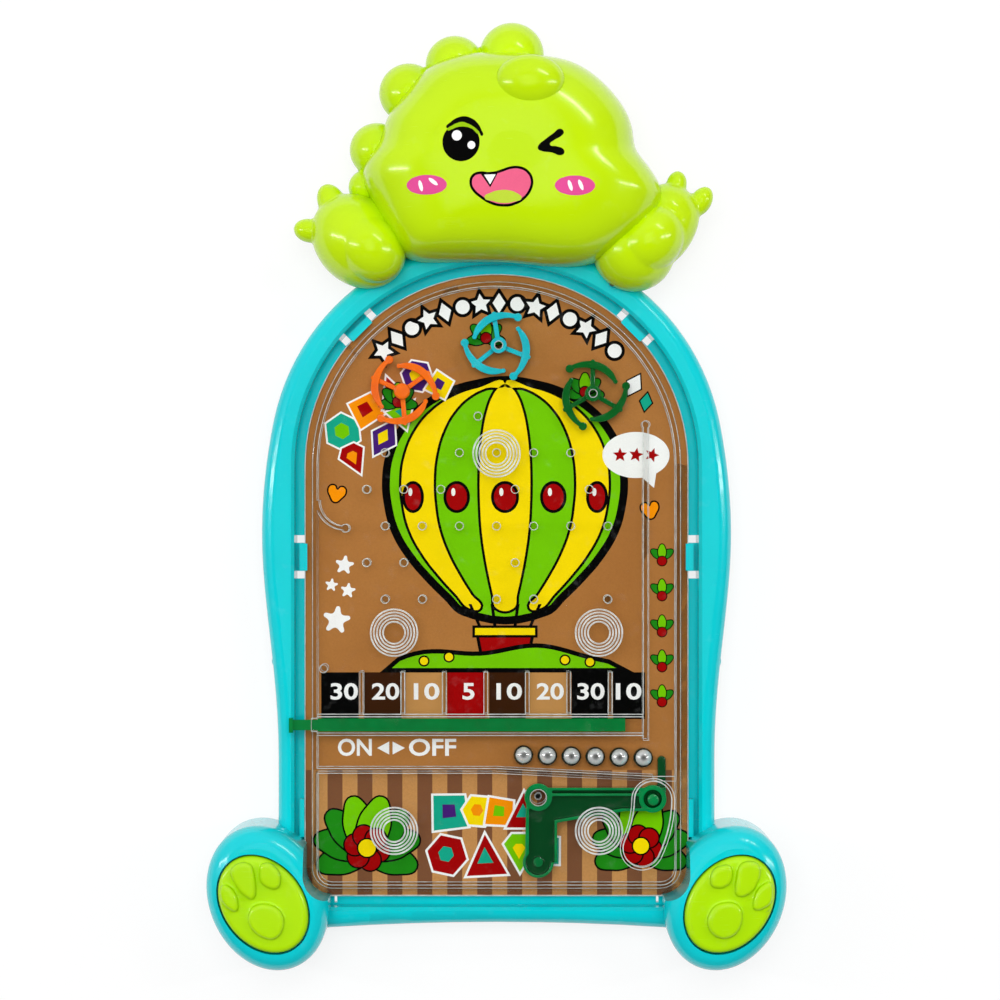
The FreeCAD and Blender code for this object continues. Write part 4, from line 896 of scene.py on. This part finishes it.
def lobe(x, y, z, long_r, short_r, tilt):
    bpy.ops.object.select_all(action="DESELECT")
    bpy.ops.mesh.primitive_uv_sphere_add(
        segments=64, ring_count=32, radius=1.0, location=(x, y, z),
        rotation=(0, 0, math.radians(tilt)), scale=(long_r, short_r, short_r),
    )
    return settled(bpy.context.view_layer.objects.active)


def softened(name, lobes, rounds, back_z):
    """Lobes melted into one skin, with soft creases, cut flat at the back."""
    skin = joined(name, lobes)
    melted(skin, SKIN_VOXEL, rounds)
    cut_flat(back_z, "below")
    bpy.ops.object.shade_smooth_by_angle(angle=math.radians(50))
    return coated(skin, lime)


for name, (angle, shares) in ARMS.items():
    hand_x = ARM_ORBIT * math.cos(math.radians(angle))
    hand_y = arch_y + ARM_ORBIT * math.sin(math.radians(angle))
    skin = softened(f"{name}_skin", [
        lobe(
            hand_x + sx * ARM_R, hand_y + sy * ARM_R, ARM_Z + rise * ARM_R,
            long_share * ARM_R, short_share * ARM_R, tilt,
        )
        for sx, sy, rise, long_share, short_share, tilt in shares
    ], 6, ARM_BACK_Z)
    carried(skin)
    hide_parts(name)

# The round spikes along the head's back
HEAD_HALF_W = 0.0474
HEAD_X = 0.0053
HEAD_Y = arch_y + 0.0641 + 0.033
SPIKES = [
    (-0.986, -0.185, 0.114), (-0.912, 0.062, 0.180), (-0.698, 0.443, 0.197), (-0.391, 0.630, 0.194),
    (-0.010, 0.697, 0.214),
]
SPIKE_Z = 0.015
SPIKE_BACK_Z = 0.0042
SPIKE_SPARE = 0.0001
INSIDE_BOX = 0.00001


def spike(x, y, share):
    reach = share * HEAD_HALF_W + SPIKE_SPARE
    return lobe(HEAD_X + x * HEAD_HALF_W, HEAD_Y + y * HEAD_HALF_W, SPIKE_Z, reach, reach, 0)


spikes = softened("head_spikes", [spike(x, y, share) for x, y, share in SPIKES], 1, SPIKE_BACK_Z)
for point in spikes.data.vertices:
    point.co.y = min(point.co.y, cad_high.y - INSIDE_BOX)
carried(spikes)

# Flat-topped toes of the paw pads
PAW_RISE = 0.0024
TOE_TOP = 0.0022
TOE_ROUND = 0.0011
TOE_ROOT = 0.0004
PAD_VOXEL = 0.0003
PAD_CUT = 0.00003

# For each pad: a corner of its view in photograph pixels, then its toes in sixths of a pixel from there
VIEW_STEPS = 6
PAWS = {
    "paw_left": (205.0, 845.0, [
        [(90, 262), (105, 243), (135, 248), (165, 272), (188, 310), (197, 355), (194, 392), (178, 403),
         (145, 388), (112, 360), (92, 320)],
        [(150, 165), (165, 135), (200, 112), (245, 108), (278, 128), (292, 165), (300, 220), (304, 280),
         (298, 315), (278, 330), (250, 318), (215, 290), (182, 245), (160, 205)],
        [(328, 130), (350, 112), (390, 112), (425, 140), (448, 175), (453, 215), (445, 250), (420, 268),
         (385, 262), (345, 240), (326, 205), (326, 165)],
        [(262, 410), (285, 375), (325, 358), (375, 358), (425, 378), (460, 415), (473, 460), (465, 510),
         (440, 550), (400, 570), (350, 560), (300, 530), (268, 490), (256, 450)],
    ]),
    "paw_right": (672.0, 845.0, [
        [(500, 300), (520, 265), (550, 240), (585, 225), (604, 245), (607, 290), (603, 335), (585, 362),
         (550, 385), (515, 395), (492, 385), (488, 345)],
        [(405, 130), (430, 108), (475, 100), (515, 115), (532, 150), (530, 190), (512, 240), (485, 280),
         (445, 308), (410, 315), (385, 300), (380, 260), (388, 200)],
        [(240, 170), (265, 140), (305, 125), (345, 125), (364, 150), (366, 190), (352, 230), (320, 255),
         (275, 262), (242, 250), (230, 215)],
        [(228, 410), (260, 370), (310, 350), (370, 350), (410, 375), (425, 420), (418, 480), (390, 530),
         (345, 560), (295, 563), (250, 540), (220, 500), (213, 455)],
    ]),
}


def toe(loop, level):
    """A raised toe with a flat top and a round edge."""
    half = (TOE_TOP + TOE_ROOT) / 2
    thing = flat_curve(half - TOE_ROUND, -TOE_ROUND)
    thing.data.bevel_depth = TOE_ROUND
    thing.data.bevel_resolution = 3
    round_loop(thing.data, [seen(px, py, level + TOE_TOP) for px, py in loop])
    thing.location.z = level + TOE_TOP - half
    return settled(as_mesh(thing))


for node, (left, top, loops) in PAWS.items():
    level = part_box(node)[1].z - PAW_RISE
    pad = copy_of(node, f"{node}_pad")
    cut_flat(level + PAD_CUT, "above")
    toes = [toe([(left + x / VIEW_STEPS, top + y / VIEW_STEPS) for x, y in loop], level) for loop in loops]
    skin = joined(f"{node}_skin", [pad] + toes)
    melted(skin, PAD_VOXEL, 8)
    bpy.ops.object.shade_smooth()
    carried(coated(skin, pad_lime))
    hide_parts(node)

# Camera, light and floor
bpy.ops.object.select_all(action="DESELECT")
bpy.ops.object.camera_add(location=(CAMERA_X, camera_y, CAMERA_HEIGHT), rotation=(0, 0, 0))
camera = bpy.context.view_layer.objects.active
camera.data.lens = LENS_MM
camera.data.sensor_width = SENSOR_MM
camera.data.clip_end = 20.0
bpy.context.scene.camera = camera

bpy.ops.mesh.primitive_plane_add(size=8.0, location=(0, 0, -0.0003))
floor = bpy.context.view_layer.objects.active
floor.name = "floor"
floor_finish = Finish("floor_white")
rays = floor_finish.tree.nodes.new("ShaderNodeLightPath")
direct = Strand(floor_finish, rays.outputs["Is Camera Ray"])
bounced = Strand(floor_finish, rays.outputs["Is Glossy Ray"])
through = Strand(floor_finish, rays.outputs["Is Transmission Ray"])
paper = floor_finish.noise(floor_finish.place(), 3.0, 2.0)
matt = floor_finish.surface({
    "Base Color": floor_finish.mix(paper, (0.88, 0.88, 0.88, 1), (0.90, 0.90, 0.90, 1)), "Roughness": 0.9,
})
lit = floor_finish.node("ShaderNodeEmission", None, {"Color": (1, 1, 1, 1), "Strength": 1.02})
either = direct.sum_of("MAXIMUM", direct, bounced.sum_of("MAXIMUM", bounced, through))
floor.data.materials.append(floor_finish.show(
    floor_finish.node("ShaderNodeMixShader", None, {0: 0.8 * either, 1: matt, 2: lit})
))

sky = Finish("studio", bpy.data.worlds.new("studio"))
bpy.context.scene.world = sky.owner
across, along, upward = sky.axes(sky.node("ShaderNodeTexCoord", output="Generated"))
low_sky = sky.mix(sky.spread(along - 0.5 * across, 0.10, 0.55), (0.12, 0.12, 0.12, 1), (0.46, 0.46, 0.46, 1))
dome = sky.mix(sky.spread(upward, 0.80, 0.93), low_sky, (0.03, 0.03, 0.03, 1))
seen_sky = sky.node("ShaderNodeLightPath", output="Is Camera Ray")
sky.show(
    sky.node("ShaderNodeBackground", None, {"Color": sky.mix(seen_sky, dome, (1, 1, 1, 1)), "Strength": 1.0}),
    "ShaderNodeOutputWorld",
)


def softbox(name, place, width, height, power):
    """A lamp with a rectangular face, turned to the toy's middle."""
    bpy.ops.object.light_add(type="AREA", location=place)
    lamp = bpy.context.view_layer.objects.active
    lamp.name = name
    lamp.data.shape = "RECTANGLE"
    lamp.data.size = width
    lamp.data.size_y = height
    lamp.data.energy = power
    lamp.rotation_euler = (-Vector(place)).to_track_quat("-Z", "Y").to_euler()
    return lamp


overhead = softbox("overhead", (-0.1, 0.30, 2.15), 1.3, 1.3, 36.0)
overhead.visible_glossy = False
for name, side_x in (("left_strip", -0.9), ("right_strip", 0.9)):
    softbox(name, (side_x, 0.1, 0.75), 0.05, 0.6, 1.9)
softbox("top_strip", (0.55, 0.75, 0.95), 0.5, 0.06, 1.8)

bpy.context.scene.view_settings.view_transform = "Standard"
